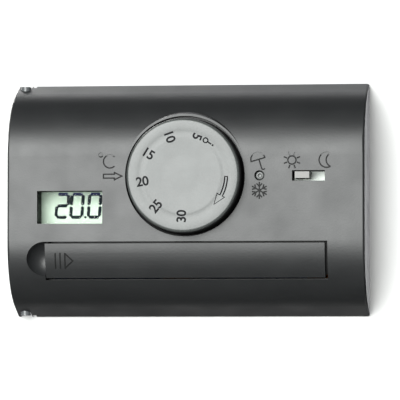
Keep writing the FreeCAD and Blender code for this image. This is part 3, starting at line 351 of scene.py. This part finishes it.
# Painted shade: the skirt behind the face is coloured near-black.
face_and_skirt_painted_shade = add_node(dial_finish, "MixRGB", {"Fac": edge.outputs["Result"],
                                            "Color1": lacquer.outputs["Color"],
                                            "Color2": linear("#101011")})
mist = add_node(dial_finish, "TexNoise", {"Vector": place, "Scale": 1 / LACQUER_MIST, "Detail": 2.0})
sheen = add_node(dial_finish, "MapRange", {"Value": mist.outputs["Fac"], "To Min": 0.34, "To Max": 0.44})
orange_peel = add_node(dial_finish, "Bump", {"Height": mist.outputs["Fac"], "Strength": 0.6,
                                             "Distance": 0.000018})
wire(dial_finish, shader, Base_Color=face_and_skirt_painted_shade.outputs["Color"], Roughness=sheen.outputs["Result"],
     Normal=orange_peel.outputs["Normal"])
dial.data.materials.append(dial_finish)
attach(dial, "dial")
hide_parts("dial_knob")

# ---- Dial scale ----------------------------------------------------------------------------------
# Temperatures, a frost symbol and a turning arrow, pad-printed in near-black ink on the dial's face.
# The ink reaches 0.02 mm in front of the rim and is duller than the lacquer under it.
SCALE_RADIUS = 0.0125
DIGIT_SIZE = 0.004
DIGIT_SWELL = 0.00009
DIGIT_SPACING = 0.95
INK = 0.00004
PRINT_PLANE = face + 0.00002
# Each number's angle in degrees, clockwise from the top.
SCALE = {"5": 20.1, "10": -19.2, "15": -58.3, "20": -99.0, "25": -139.4, "30": -178.8}


def dial_point(radius, degrees):
    """A point of the printed scale, by its angle clockwise from the top."""
    turn = math.radians(degrees)
    return Vector((dial_centre.x + radius * math.sin(turn), PRINT_PLANE,
                   dial_centre.z + radius * math.cos(turn)))


def drawn_line(name, points, width, closed=False):
    """A printed line of even width through the points, as a flattened mesh ribbon on the dial's face."""
    curve = bpy.data.curves.new(name, "CURVE")
    curve.dimensions = "3D"
    curve.bevel_depth = width / 2
    curve.bevel_resolution = 1
    curve.use_fill_caps = True
    spline = curve.splines.new("POLY")
    spline.points.add(len(points) - 1)
    for knot, point in zip(spline.points, points):
        knot.co = (*point, 1.0)
    spline.use_cyclic_u = closed
    line = bpy.data.objects.new(name, curve)
    bpy.context.scene.collection.objects.link(line)
    drop_selection()
    line.select_set(True)
    bpy.context.view_layer.objects.active = line
    bpy.ops.object.convert(target="MESH")
    bpy.ops.object.mode_set(mode="EDIT")
    bpy.ops.mesh.select_all(action="SELECT")
    bpy.ops.transform.resize(value=(1, 2 * INK / width, 1), center_override=points[0])
    bpy.ops.object.mode_set(mode="OBJECT")
    return bpy.context.object


def join_pieces(name, pieces):
    """Joins the pieces into one."""
    drop_selection()
    for piece in pieces:
        piece.select_set(True)
    bpy.context.view_layer.objects.active = pieces[0]
    bpy.ops.object.join()
    return start_piece(name)


prints = []
for number, degrees in SCALE.items():
    bpy.ops.object.text_add(location=dial_point(SCALE_RADIUS, degrees),
                            rotation=(math.pi / 2, math.radians(degrees + 90), 0))
    text = bpy.context.object
    text.data.body = number
    text.data.size = DIGIT_SIZE
    text.data.align_x = text.data.align_y = "CENTER"
    text.data.extrude = INK
    text.data.offset = DIGIT_SWELL
    text.data.space_character = DIGIT_SPACING
    bpy.ops.object.convert(target="MESH")
    settle(bpy.context.object)
    prints.append(bpy.context.object)

# The arrow is an outline that bends with the dial.  Its tail, neck and tip are in degrees.
ARROW_TAIL, ARROW_NECK, ARROW_TIP = 92.0, 118.0, 133.0
ARROW_INSIDE, ARROW_OUTSIDE = 0.0129, 0.01375
ARROW_BARBS = (0.0145, 0.0119)
ARROW_TIP_RADIUS = 0.0131
ARROW_LINE = 0.0005
BEND_STEPS = 8
BEND = [ARROW_TAIL + (ARROW_NECK - ARROW_TAIL) * step / BEND_STEPS for step in range(BEND_STEPS + 1)]
arrow = [dial_point(ARROW_OUTSIDE, degrees) for degrees in BEND]
arrow += [dial_point(ARROW_BARBS[0], ARROW_NECK), dial_point(ARROW_TIP_RADIUS, ARROW_TIP),
          dial_point(ARROW_BARBS[1], ARROW_NECK)]
arrow += [dial_point(ARROW_INSIDE, degrees) for degrees in reversed(BEND)]
prints.append(drawn_line("arrow", arrow, width=ARROW_LINE, closed=True))

# The frost symbol beside the 5 is a ring with a short stem and a dot, in line with a chord of the dial.
# The stem and the dot run between two distances from the ring's middle.
FROST_RADIUS, FROST_ANGLE = 0.0127, 33.5
FROST_CHORD = (10.0, 60.0)
FROST_RING, FROST_RING_LINE = 0.00072, 0.00045
FROST_STEM, FROST_STEM_LINE = (0.0007, 0.0021), 0.0005
FROST_DOT, FROST_DOT_LINE = (0.0024, 0.0029), 0.0006
frost_middle = dial_point(FROST_RADIUS, FROST_ANGLE)
chord_start, chord_end = (dial_point(FROST_RADIUS, degrees) for degrees in FROST_CHORD)
along = (chord_end - chord_start).normalized()
ring = [frost_middle + Vector((math.cos(turn), 0, math.sin(turn))) * FROST_RING
        for turn in [math.tau * step / 20 for step in range(20)]]
prints.append(drawn_line("frost_ring", ring, FROST_RING_LINE, closed=True))
for name, reach, width in (("frost_stem", FROST_STEM, FROST_STEM_LINE),
                           ("frost_dot", FROST_DOT, FROST_DOT_LINE)):
    prints.append(drawn_line(name, [frost_middle + along * distance for distance in reach], width))
printed_scale = join_pieces("dial_scale_print", prints)

# Text and curves become meshes with open seams, which are closed here.
SEAM = 0.0000001
bpy.ops.object.mode_set(mode="EDIT")
bpy.ops.mesh.select_all(action="SELECT")
bpy.ops.mesh.remove_doubles(threshold=SEAM)
bpy.ops.mesh.normals_make_consistent(inside=False)
bpy.ops.object.mode_set(mode="OBJECT")

# Pad-printing ink: matt and nearly black, with fine specks where the pad left it thin.
INK_SPECK = 0.0002
ink_finish, shader, place = new_material("pad_printing_ink", Roughness=0.7, Specular_IOR_Level=0.15)
speck = add_node(ink_finish, "TexNoise", {"Vector": place, "Scale": 1 / INK_SPECK, "Detail": 2.0})
ink_tone = add_node(ink_finish, "MixRGB", {"Fac": speck.outputs["Fac"], "Color1": linear("#08090a"),
                                           "Color2": linear("#111315")})
wire(ink_finish, shader, Base_Color=ink_tone.outputs["Color"])
printed_scale.data.materials.append(ink_finish)
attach(printed_scale, "dial")

# ---- Potentiometer -------------------------------------------------------------------------------
# The turned steel shaft that the dial grips, in a moulded case that is soldered to the board.
# Nickel-plated steel from the lathe: fine turning rings and a bright shine, scuffed in places.
LATHE_FEED, SCUFF = 0.0012, 0.0015
turned_steel, shader, place = new_material("nickel_plated_turned_steel", Metallic=1.0)
lathe = add_node(turned_steel, "TexWave", {"Vector": place, "Scale": 1 / LATHE_FEED, "Distortion": 0.6},
                 bands_direction="Y")
turning = add_node(turned_steel, "Bump", {"Height": lathe.outputs["Fac"], "Strength": 0.3,
                                          "Distance": 0.000008})
scuff = add_node(turned_steel, "TexNoise", {"Vector": place, "Scale": 1 / SCUFF, "Detail": 3.0})
steel_sheen = add_node(turned_steel, "MapRange", {"Value": scuff.outputs["Fac"], "To Min": 0.22,
                                                  "To Max": 0.4})
steel_tone = add_node(turned_steel, "MixRGB", {"Fac": scuff.outputs["Fac"], "Color1": linear("#a9a79f"),
                                               "Color2": linear("#c3c1ba")})
wire(turned_steel, shader, Base_Color=steel_tone.outputs["Color"], Normal=turning.outputs["Normal"],
     Roughness=steel_sheen.outputs["Result"])
coat(turned_steel, "potentiometer_shaft")

# Dark blue phenolic resin, hard and evenly glossy from a polished tool.
pot_case = moulded_plastic("phenolic_potentiometer_case", "#1d2a4a", "#243358", gloss=0.45,
                           grain=0.0006, relief=0.000006)
coat(pot_case, "potentiometer_body")

# ---- Display -------------------------------------------------------------------------------------
# A reflective liquid-crystal cell behind a clear acrylic window: two sheets of glass with a
# grey-green polariser, on rubber contact strips in a moulded frame.
# The polariser's film is matt and pale green, with a faint drift of tone.
POLARISER_DRIFT = 0.0025
cell_low, cell_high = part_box("lcd_glass")
cell_finish, shader, place = new_material("reflective_polariser", Roughness=0.55, Specular_IOR_Level=0.08)
grain = add_node(cell_finish, "TexNoise", {"Vector": place, "Scale": 1 / POLARISER_DRIFT, "Detail": 3.0})
green = add_node(cell_finish, "MixRGB", {"Fac": grain.outputs["Fac"], "Color1": linear("#b2c5b3"),
                                         "Color2": linear("#bdcfbe")})
wire(cell_finish, shader, Base_Color=green.outputs["Color"])
coat(cell_finish, "lcd_glass")

# Polished acrylic is clear and glossy; it is drawn almost wholly transparent, with a trace of dust.
WINDOW_DUST = 0.003
window_finish, shader, place = new_material("clear_acrylic", Base_Color=linear("#30332f"), IOR=1.49,
                                            Alpha=0.03)
dust = add_node(window_finish, "TexNoise", {"Vector": place, "Scale": 1 / WINDOW_DUST, "Detail": 2.0})
haze = add_node(window_finish, "MapRange", {"Value": dust.outputs["Fac"], "To Min": 0.02, "To Max": 0.08})
wire(window_finish, shader, Roughness=haze.outputs["Result"])
coat(window_finish, "lcd_window")

# Black ABS from a plain tool, for what lies inside; the contact strips are dull carbon-filled rubber.
inner_abs = moulded_plastic("black_abs_inner", "#151516", "#1c1c1e", gloss=0.5, grain=0.0006,
                            relief=0.000008)
coat(inner_abs, "lcd_holder", "battery_tray", "slide_switch_body", "season_switch_body",
     "contact_socket")
strip_rubber = moulded_plastic("zebra_contact_rubber", "#232325", "#3a3a3d", gloss=0.8, grain=0.0003,
                               relief=0.00001)
coat(strip_rubber, "lcd_connector_strips")

# ---- Display figures -----------------------------------------------------------------------------
# Slanted seven-segment figures that the cell turns dark, with pointed ends and fine gaps between
# the segments.  Each is a bar 0.02 mm thick, just in front of the cell.
FIGURE_WIDTH = 0.0035
FIGURE_HEIGHT = 0.0083
SEGMENT = 0.0012
SEGMENT_GAP = 0.00012
FIGURE_THICKNESS = 0.00002
FIGURE_STANDOFF = 0.00003
SLANT = math.radians(4.0)
POINT_RADIUS = 0.0004
# How far below the cell's top the figures start, and how far from its left edge each one and the point are.
FIGURES_DOWN = 0.00245
FIGURES_ACROSS = (0.0068, 0.01135, 0.01685)
POINT_ACROSS = 0.016
# The segments that are lit for each figure, lettered clockwise from the top with g across the middle.
LIT = {"2": "abged", "0": "abcdef"}
figure_y = cell_low.y - FIGURE_STANDOFF
figures_top = cell_high.z - FIGURES_DOWN


def segment(length, x, z, upright):
    """One segment: a six-sided bar with pointed ends, laid level or nearly upright about its middle."""
    drop_selection()
    bpy.ops.mesh.primitive_circle_add(vertices=6, radius=SEGMENT / 2, fill_type="NGON", location=(0, 0, 0))
    bar = start_piece("segment")
    bpy.ops.object.mode_set(mode="EDIT")
    for side in (-1, 1):
        pick_edges(bar, lambda point: point.y * side > SEGMENT / 8)
        bpy.ops.transform.translate(value=(0, side * (length - SEGMENT) / 2, 0))
    bpy.ops.mesh.select_mode(type="FACE")
    bpy.ops.mesh.select_all(action="SELECT")
    push(z=FIGURE_THICKNESS)
    bpy.ops.mesh.select_all(action="SELECT")
    bpy.ops.mesh.normals_make_consistent(inside=False)
    bpy.ops.object.mode_set(mode="OBJECT")
    lean = (z - figures_top + FIGURE_HEIGHT) * math.tan(SLANT)
    bar.rotation_euler = (math.pi / 2, SLANT if upright else math.pi / 2, 0)
    bar.location = (x + lean, figure_y, z)
    settle(bar)
    return bar


segments = []
top, bottom = figures_top - SEGMENT / 2, figures_top - FIGURE_HEIGHT + SEGMENT / 2
middle = (top + bottom) / 2
upper, lower = (top + middle) / 2, (bottom + middle) / 2
across = FIGURE_WIDTH - 2 * SEGMENT_GAP
down = (top - bottom) / 2 - 2 * SEGMENT_GAP
for figure, offset in zip("200", FIGURES_ACROSS):
    left = cell_low.x + offset
    right = left + FIGURE_WIDTH
    centre = (left + right) / 2
    places = {"a": (across, centre, top, False), "g": (across, centre, middle, False),
              "d": (across, centre, bottom, False), "b": (down, right, upper, True),
              "c": (down, right, lower, True), "e": (down, left, lower, True),
              "f": (down, left, upper, True)}
    segments += [segment(*places[letter]) for letter in LIT[figure]]
bpy.ops.mesh.primitive_cylinder_add(vertices=20, radius=POINT_RADIUS, depth=FIGURE_THICKNESS,
                                    location=(cell_low.x + POINT_ACROSS, figure_y, bottom),
                                    rotation=(math.pi / 2, 0, 0))
settle(bpy.context.object)
segments.append(bpy.context.object)
figures = join_pieces("display_figures", segments)

# Liquid crystal that is switched on: dull blue-black, with a violet edge along the top.
crystal_finish, shader, place = new_material("dark_liquid_crystal", Roughness=0.7, Specular_IOR_Level=0.05)
rise = add_node(crystal_finish, "SeparateXYZ", {"Vector": place})
violet = add_node(crystal_finish, "MapRange", {"Value": rise.outputs["Z"], "From Min": figures_top - SEGMENT,
                                               "From Max": figures_top - SEGMENT / 2})
crystal_tone = add_node(crystal_finish, "MixRGB", {"Fac": violet.outputs["Result"],
                                                   "Color1": linear("#0a1519"), "Color2": linear("#262d50")})
wire(crystal_finish, shader, Base_Color=crystal_tone.outputs["Color"])
figures.data.materials.append(crystal_finish)
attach(figures, "front_unit")

# ---- Slider --------------------------------------------------------------------------------------
# The day and night slider: a post with a pale cap, on a pale plate that always fills the slot.
# The post's sides between the cap and the plate are painted near-black as the shade down the slot.
# Acetal is waxy and faintly rubbed by fingers; the cap and the plate keep their pale colours.
CAP_THICKNESS = 0.0003
PLATE_DEPTH = 0.0078
POST_SHADE_BLEND = 0.00005
FINGER_RUB = 0.0005
cap_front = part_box("slider_knob")[0].y
slider_finish, shader, place = new_material("acetal_with_painted_post_shade", Roughness=0.4, IOR=1.48)
depth = add_node(slider_finish, "SeparateXYZ", {"Vector": place})
post_painted_shade = add_node(slider_finish, "MapRange", {"Value": depth.outputs["Y"],
                                            "From Min": cap_front + CAP_THICKNESS,
                                            "From Max": cap_front + CAP_THICKNESS + POST_SHADE_BLEND})
plate = add_node(slider_finish, "MapRange", {"Value": depth.outputs["Y"],
                                             "From Min": cap_front + PLATE_DEPTH,
                                             "From Max": cap_front + PLATE_DEPTH + 2 * POST_SHADE_BLEND})
# Painted shade on the post between the cap and the plate.
cap_tone = add_node(slider_finish, "MixRGB", {"Fac": post_painted_shade.outputs["Result"], "Color1": linear("#5a5957"),
                                              "Color2": linear("#0b0b0c")})
slider_tone = add_node(slider_finish, "MixRGB", {"Fac": plate.outputs["Result"],
                                                 "Color1": cap_tone.outputs["Color"],
                                                 "Color2": linear("#dfe8e0")})
rub = add_node(slider_finish, "TexNoise", {"Vector": place, "Scale": 1 / FINGER_RUB, "Detail": 2.0})
rubbed = add_node(slider_finish, "Bump", {"Height": rub.outputs["Fac"], "Strength": 0.3,
                                          "Distance": 0.000006})
wire(slider_finish, shader, Base_Color=slider_tone.outputs["Color"], Normal=rubbed.outputs["Normal"])
coat(slider_finish, "slider_knob")

# ---- Season button -------------------------------------------------------------------------------
# A recessed push pin in grey ABS, pressed with a pen tip: its crown has a raised ring round a
# small dimple, and a flange behind the cover keeps it captive.
pin_low, pin_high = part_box("season_button")
pin_centre = (pin_low + pin_high) / 2
flange_radius = (pin_high.x - pin_low.x) / 2
PIN_RADIUS = 0.0013
FLANGE_DEPTH, FLANGE_THICKNESS = 0.0076, 0.0008
# The crown, from its edge to the middle of its dimple: the radius and the depth of each ring.
CROWN_RINGS = ((PIN_RADIUS, 0.0003), (PIN_RADIUS - 0.00008, 0.0001), (PIN_RADIUS - 0.0003, 0.0),
               (0.0007, 0.0), (0.00055, 0.0003), (0.0002, 0.0004))
crown = pin_low.y
flange_front = crown + FLANGE_DEPTH
flange_back = flange_front + FLANGE_THICKNESS
pin = turned("season_button_pin", pin_centre, [
    (PIN_RADIUS, pin_high.y), (PIN_RADIUS, flange_back), (flange_radius, flange_back),
    (flange_radius, flange_front), (PIN_RADIUS, flange_front)]
    + [(radius, crown + depth) for radius, depth in CROWN_RINGS], sides=64)
smooth(pin)

# Grey ABS, moulded smooth, and cloudy where pens have marked it.
PEN_MARKS = 0.0006
pin_finish, shader, place = new_material("grey_abs_button", Roughness=0.35, IOR=1.5)
grime = add_node(pin_finish, "TexNoise", {"Vector": place, "Scale": 1 / PEN_MARKS, "Detail": 2.0})
pin_tone = add_node(pin_finish, "MixRGB", {"Fac": grime.outputs["Fac"], "Color1": linear("#3a3c3b"),
                                           "Color2": linear("#474948")})
wire(pin_finish, shader, Base_Color=pin_tone.outputs["Color"])
pin.data.materials.append(pin_finish)
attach(pin, "season_button")
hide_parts("season_button")

# ---- Battery drawer ------------------------------------------------------------------------------
# Two slim cells lie end to end between a coil spring and a flat contact, each a plated steel can in
# a blue and copper shrink sleeve.  A leaf spring under the lid's right end keeps it closed.
# Shrink sleeve: printed plastic film, glossy and a little wrinkled, over bright plated steel ends.
battery_finish, shader, place = new_material("shrink_sleeve", Roughness=0.3, IOR=1.5, Coat_Weight=0.3)
first_low, first_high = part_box("battery_left")
# Where each band of colour starts and stops along a cell.
CELL_BANDS = (((0.0007, 0.0343), "#16305c"), ((0.0343, 0.0429), "#7a4a22"))
SLEEVE_CREASE = 0.004
along_x = add_node(battery_finish, "SeparateXYZ", {"Vector": place})
from_start = add_node(battery_finish, "Math", {0: along_x.outputs["X"], 1: first_low.x}, operation="SUBTRACT")
along_cell = add_node(battery_finish, "Math", {0: from_start.outputs["Value"],
                                               1: first_high.x - first_low.x}, operation="MODULO")
crease = add_node(battery_finish, "TexNoise", {"Vector": place, "Scale": 1 / SLEEVE_CREASE, "Detail": 3.0})
band_tone = add_node(battery_finish, "MixRGB", {"Fac": crease.outputs["Fac"], "Color1": linear("#b3b1aa"),
                                                "Color2": linear("#c6c4bd")}).outputs["Color"]
sleeved = []
for (start, stop), colour in CELL_BANDS:
    band = add_node(battery_finish, "Math", {0: along_cell.outputs["Value"], 1: (start + stop) / 2,
                                             2: (stop - start) / 2}, operation="COMPARE").outputs["Value"]
    band_tone = add_node(battery_finish, "MixRGB", {"Fac": band, "Color1": band_tone,
                                                    "Color2": linear(colour)}).outputs["Color"]
    sleeved.append(band)
sleeve = add_node(battery_finish, "Math", {0: sleeved[0], 1: sleeved[1]}, operation="MAXIMUM")
bare = add_node(battery_finish, "Math", {0: 1.0, 1: sleeve.outputs["Value"]}, operation="SUBTRACT")
wrinkle = add_node(battery_finish, "Bump", {"Height": crease.outputs["Fac"], "Strength": 0.2,
                                            "Distance": 0.00003})
wire(battery_finish, shader, Base_Color=band_tone, Metallic=bare.outputs["Value"],
     Normal=wrinkle.outputs["Normal"])
coat(battery_finish, "battery_left", "battery_right")

# Spring steel is nickel-plated after it is drawn and bent, and is bright with faint draw marks.  The
# board's crystal has a drawn can of the same finish.
DRAW_MARKS = 0.0008
spring_steel, shader, place = new_material("nickel_plated_spring_steel", Metallic=1.0)
draw_marks = add_node(spring_steel, "TexNoise", {"Vector": place, "Scale": 1 / DRAW_MARKS, "Detail": 3.0})
spring_sheen = add_node(spring_steel, "MapRange", {"Value": draw_marks.outputs["Fac"], "To Min": 0.2,
                                                   "To Max": 0.38})
spring_tone = add_node(spring_steel, "MixRGB", {"Fac": draw_marks.outputs["Fac"],
                                                "Color1": linear("#b3b1aa"), "Color2": linear("#cbc9c2")})
wire(spring_steel, shader, Base_Color=spring_tone.outputs["Color"], Roughness=spring_sheen.outputs["Result"])
coat(spring_steel, "contact_spring", "contact_plate", "cover_spring_tongue", "crystal")

# ---- Circuit board -------------------------------------------------------------------------------
# Glass-epoxy laminate under solder resist, with the relay, the chip and the small parts soldered to
# it.  The resist is a glossy dark green, paler over the copper tracks, with bright solder pads.
TRACK_PITCH, TRACK_GAP = 0.0013, 0.00016
TRACK_LENGTH = 14 * TRACK_PITCH
PAD_SPACING = 0.006
PAD_RADIUS = 0.0009
board_finish, shader, place = new_material("glass_epoxy_laminate", IOR=1.5, Roughness=0.35)
upright = add_node(board_finish, "Mapping", {"Vector": place, "Rotation": (math.pi / 2, 0, 0)})
tracks = add_node(board_finish, "TexBrick", {
    "Vector": upright.outputs["Vector"], "Scale": 1.0, "Color1": linear("#0d3a20"),
    "Color2": linear("#103f24"), "Mortar": linear("#185433"), "Mortar Size": TRACK_GAP,
    "Brick Width": TRACK_LENGTH, "Row Height": TRACK_PITCH}, offset=0.37)
pads = add_node(board_finish, "TexVoronoi", {"Vector": place, "Scale": 1 / PAD_SPACING, "Randomness": 0.7})
pad = add_node(board_finish, "Math", {0: pads.outputs["Distance"], 1: PAD_RADIUS / PAD_SPACING},
               operation="LESS_THAN")
solder = add_node(board_finish, "MixRGB", {"Fac": pad.outputs["Value"], "Color1": tracks.outputs["Color"],
                                           "Color2": linear("#b9bbb8")})
wire(board_finish, shader, Base_Color=solder.outputs["Color"], Metallic=pad.outputs["Value"])
coat(board_finish, "main_pcb")

# Moulded cases: glossy blue polyester on the relay and dull black epoxy on the chip.  The chip's leads
# and the resistors' ends are tinned.  The capacitor is in a glossy dark sleeve, and the sensor is a
# bead of black resin.
coat(moulded_plastic("relay_case_pbt", "#12408a", "#184a98", gloss=0.3, grain=0.0008, relief=0.000005),
     "relay")
TINNED_FROM = 0.76
for node, name, axis in (("microcontroller", "epoxy_moulding_compound", 0),
                         ("resistors", "thick_film_on_alumina", 2)):
    low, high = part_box(node)
    middle, reach = (low + high) / 2, (high - low) / 2
    package = moulded_plastic(name, "#161617", "#1e1e20", gloss=0.55, grain=0.0004, relief=0.000008)
    along = add_node(package, "SeparateXYZ", {"Vector": place_on(package)}).outputs[axis]
    offset = add_node(package, "Math", {0: along, 1: middle[axis]}, operation="SUBTRACT")
    distance = add_node(package, "Math", {0: offset.outputs["Value"]}, operation="ABSOLUTE")
    tinned = add_node(package, "Math", {0: distance.outputs["Value"], 1: TINNED_FROM * reach[axis]},
                      operation="GREATER_THAN")
    shade_where(package, tinned.outputs["Value"], "#b4b6b4", 0.3)
    coat(package, node)
coat(moulded_plastic("capacitor_sleeve_pvc", "#14161c", "#1c1f27", gloss=0.25, grain=0.001,
                     relief=0.000005), "capacitor")
coat(moulded_plastic("sensor_epoxy_resin", "#0f0f10", "#171718", gloss=0.25, grain=0.0008,
                     relief=0.000005), "temperature_sensor")

# ---- Terminals and screws ------------------------------------------------------------------------
# A green polyamide block on the wall base takes the wiring under three slotted screws and clamps, and
# three flat blades beside it plug into the board's socket.  Four more screws hold the board itself.
coat(moulded_plastic("terminal_polyamide", "#1c6a3c", "#237646", gloss=0.4, grain=0.0006, relief=0.000008),
     "terminal_block")

# Zinc-plated steel: bluish grey, cloudy from its passivation.  Tinned brass is warmer and duller.
PLATING_CLOUD = 0.001
zinc, shader, place = new_material("zinc_plated_steel", Metallic=1.0)
passivation = add_node(zinc, "TexNoise", {"Vector": place, "Scale": 1 / PLATING_CLOUD, "Detail": 3.0})
zinc_tone = add_node(zinc, "MixRGB", {"Fac": passivation.outputs["Fac"], "Color1": linear("#9fa3a6"),
                                      "Color2": linear("#bfc2c4")})
zinc_sheen = add_node(zinc, "MapRange", {"Value": passivation.outputs["Fac"], "To Min": 0.28, "To Max": 0.45})
wire(zinc, shader, Base_Color=zinc_tone.outputs["Color"], Roughness=zinc_sheen.outputs["Result"])
coat(zinc, "pcb_screws", "terminal_screws")

tin, shader, place = new_material("tinned_brass", Metallic=1.0)
tin_cloud = add_node(tin, "TexNoise", {"Vector": place, "Scale": 1 / PLATING_CLOUD, "Detail": 3.0})
tin_tone = add_node(tin, "MixRGB", {"Fac": tin_cloud.outputs["Fac"], "Color1": linear("#b8b3a4"),
                                    "Color2": linear("#d0ccbf")})
tin_sheen = add_node(tin, "MapRange", {"Value": tin_cloud.outputs["Fac"], "To Min": 0.3, "To Max": 0.5})
wire(tin, shader, Base_Color=tin_tone.outputs["Color"], Roughness=tin_sheen.outputs["Result"])
coat(tin, "terminal_clamps", "base_contact_blades")

# ---- Wall, floor, light and camera ---------------------------------------------------------------
# A plain white wall that the thermostat hangs on, and a pale floor below.  The key is one large soft
# light from the front and upper left; three dim cards behind the wall graze the case's edges, a fill
# lights its back, and a long lens looks from a little to the right and slightly low.


def stage_plane(name, size, location, rotation, colour, glow):
    """A one-sided sheet: seen from behind it isn't there."""
    drop_selection()
    bpy.ops.mesh.primitive_plane_add(size=size, location=location, rotation=rotation)
    sheet = start_piece(name)
    paint = bpy.data.materials.new(name + "_paint")
    paint.use_nodes = True
    shader = paint.node_tree.nodes["Principled BSDF"]
    for socket, setting in (("Base Color", linear(colour)), ("Roughness", 0.9),
                            ("Emission Color", (1, 1, 1, 1)), ("Emission Strength", glow)):
        shader.inputs[socket].default_value = setting
    behind = add_node(paint, "NewGeometry").outputs["Backfacing"]
    clear = add_node(paint, "BsdfTransparent")
    mix = add_node(paint, "MixShader", {"Fac": behind, 1: shader.outputs["BSDF"], 2: clear.outputs["BSDF"]})
    surface = paint.node_tree.nodes["Material Output"].inputs["Surface"]
    paint.node_tree.links.new(mix.outputs["Shader"], surface)
    sheet.data.materials.append(paint)
    return sheet


wall = stage_plane("wall", size=3.0, location=(0, 0.0004, 0.9), rotation=(math.pi / 2, 0, 0),
                   colour="#bdbdbd", glow=0.03)
wall.visible_shadow = False
wall.visible_glossy = False
floor = stage_plane("floor", size=12.0, location=(0, 0, -0.6), rotation=(0, 0, 0),
                    colour="#bdbdbb", glow=0.3)
floor.visible_glossy = False


def direction(azimuth, elevation):
    """The unit vector from the thermostat towards a direction in degrees: 0, 0 is straight in front."""
    turn, rise = math.radians(azimuth), math.radians(elevation)
    return Vector((math.sin(turn) * math.cos(rise), -math.cos(turn) * math.cos(rise), math.sin(rise)))


LIGHT_DISTANCE = 1.5
# Each light: azimuth and elevation, width and height in metres, power in watts, and colour.
LIGHTS = {
    "key": (-11, 11.2, 0.9, 1.02, 55, (0.98, 1.0, 0.985)),
    "top_card": (180, 42, 1.6, 0.45, 4.4, (0.96, 0.98, 1.0)),
    "end_card": (172, 2, 0.5, 1.0, 6.0, (0.97, 0.98, 1.0)),
    "back_fill": (222, 24, 1.2, 0.9, 34, (1.0, 0.99, 0.97)),
    "low_card": (180, -44, 1.6, 0.45, 3.2, (1.0, 1.0, 1.0)),
}
for name, (azimuth, elevation, width, height, power, colour) in LIGHTS.items():
    lamp = bpy.data.lights.new(name, "AREA")
    lamp.shape = "RECTANGLE"
    lamp.size, lamp.size_y, lamp.energy, lamp.color = width, height, power, colour
    light = bpy.data.objects.new(name, lamp)
    bpy.context.scene.collection.objects.link(light)
    away = direction(azimuth, elevation)
    light.location = away * LIGHT_DISTANCE
    light.rotation_euler = away.to_track_quat("Z", "Y").to_euler()
    light.visible_camera = False

# The world is a pale backdrop for the camera only, so it puts no light on the case.
world = bpy.data.worlds.new("studio")
world.use_nodes = True
world.node_tree.nodes["Background"].inputs["Color"].default_value = (0.9, 0.92, 0.95, 1)
world.node_tree.nodes["Background"].inputs["Strength"].default_value = 0.6
bpy.context.scene.world = world
world.cycles_visibility.diffuse = False
world.cycles_visibility.glossy = False
bpy.context.scene.view_settings.view_transform = "Standard"

CAMERA_AZIMUTH, CAMERA_ELEVATION = 6.71, -2.57
CAMERA_DISTANCE = 1.209
CAMERA_LENS = 349.7
CAMERA_AIM = Vector((0.00209, 0, 0.00025))
camera = bpy.data.objects.new("camera", bpy.data.cameras.new("camera"))
camera.data.lens = CAMERA_LENS
back = direction(CAMERA_AZIMUTH, CAMERA_ELEVATION)
camera.location = CAMERA_AIM + back * CAMERA_DISTANCE
camera.rotation_euler = back.to_track_quat("Z", "Y").to_euler()
bpy.context.scene.collection.objects.link(camera)
bpy.context.scene.camera = camera
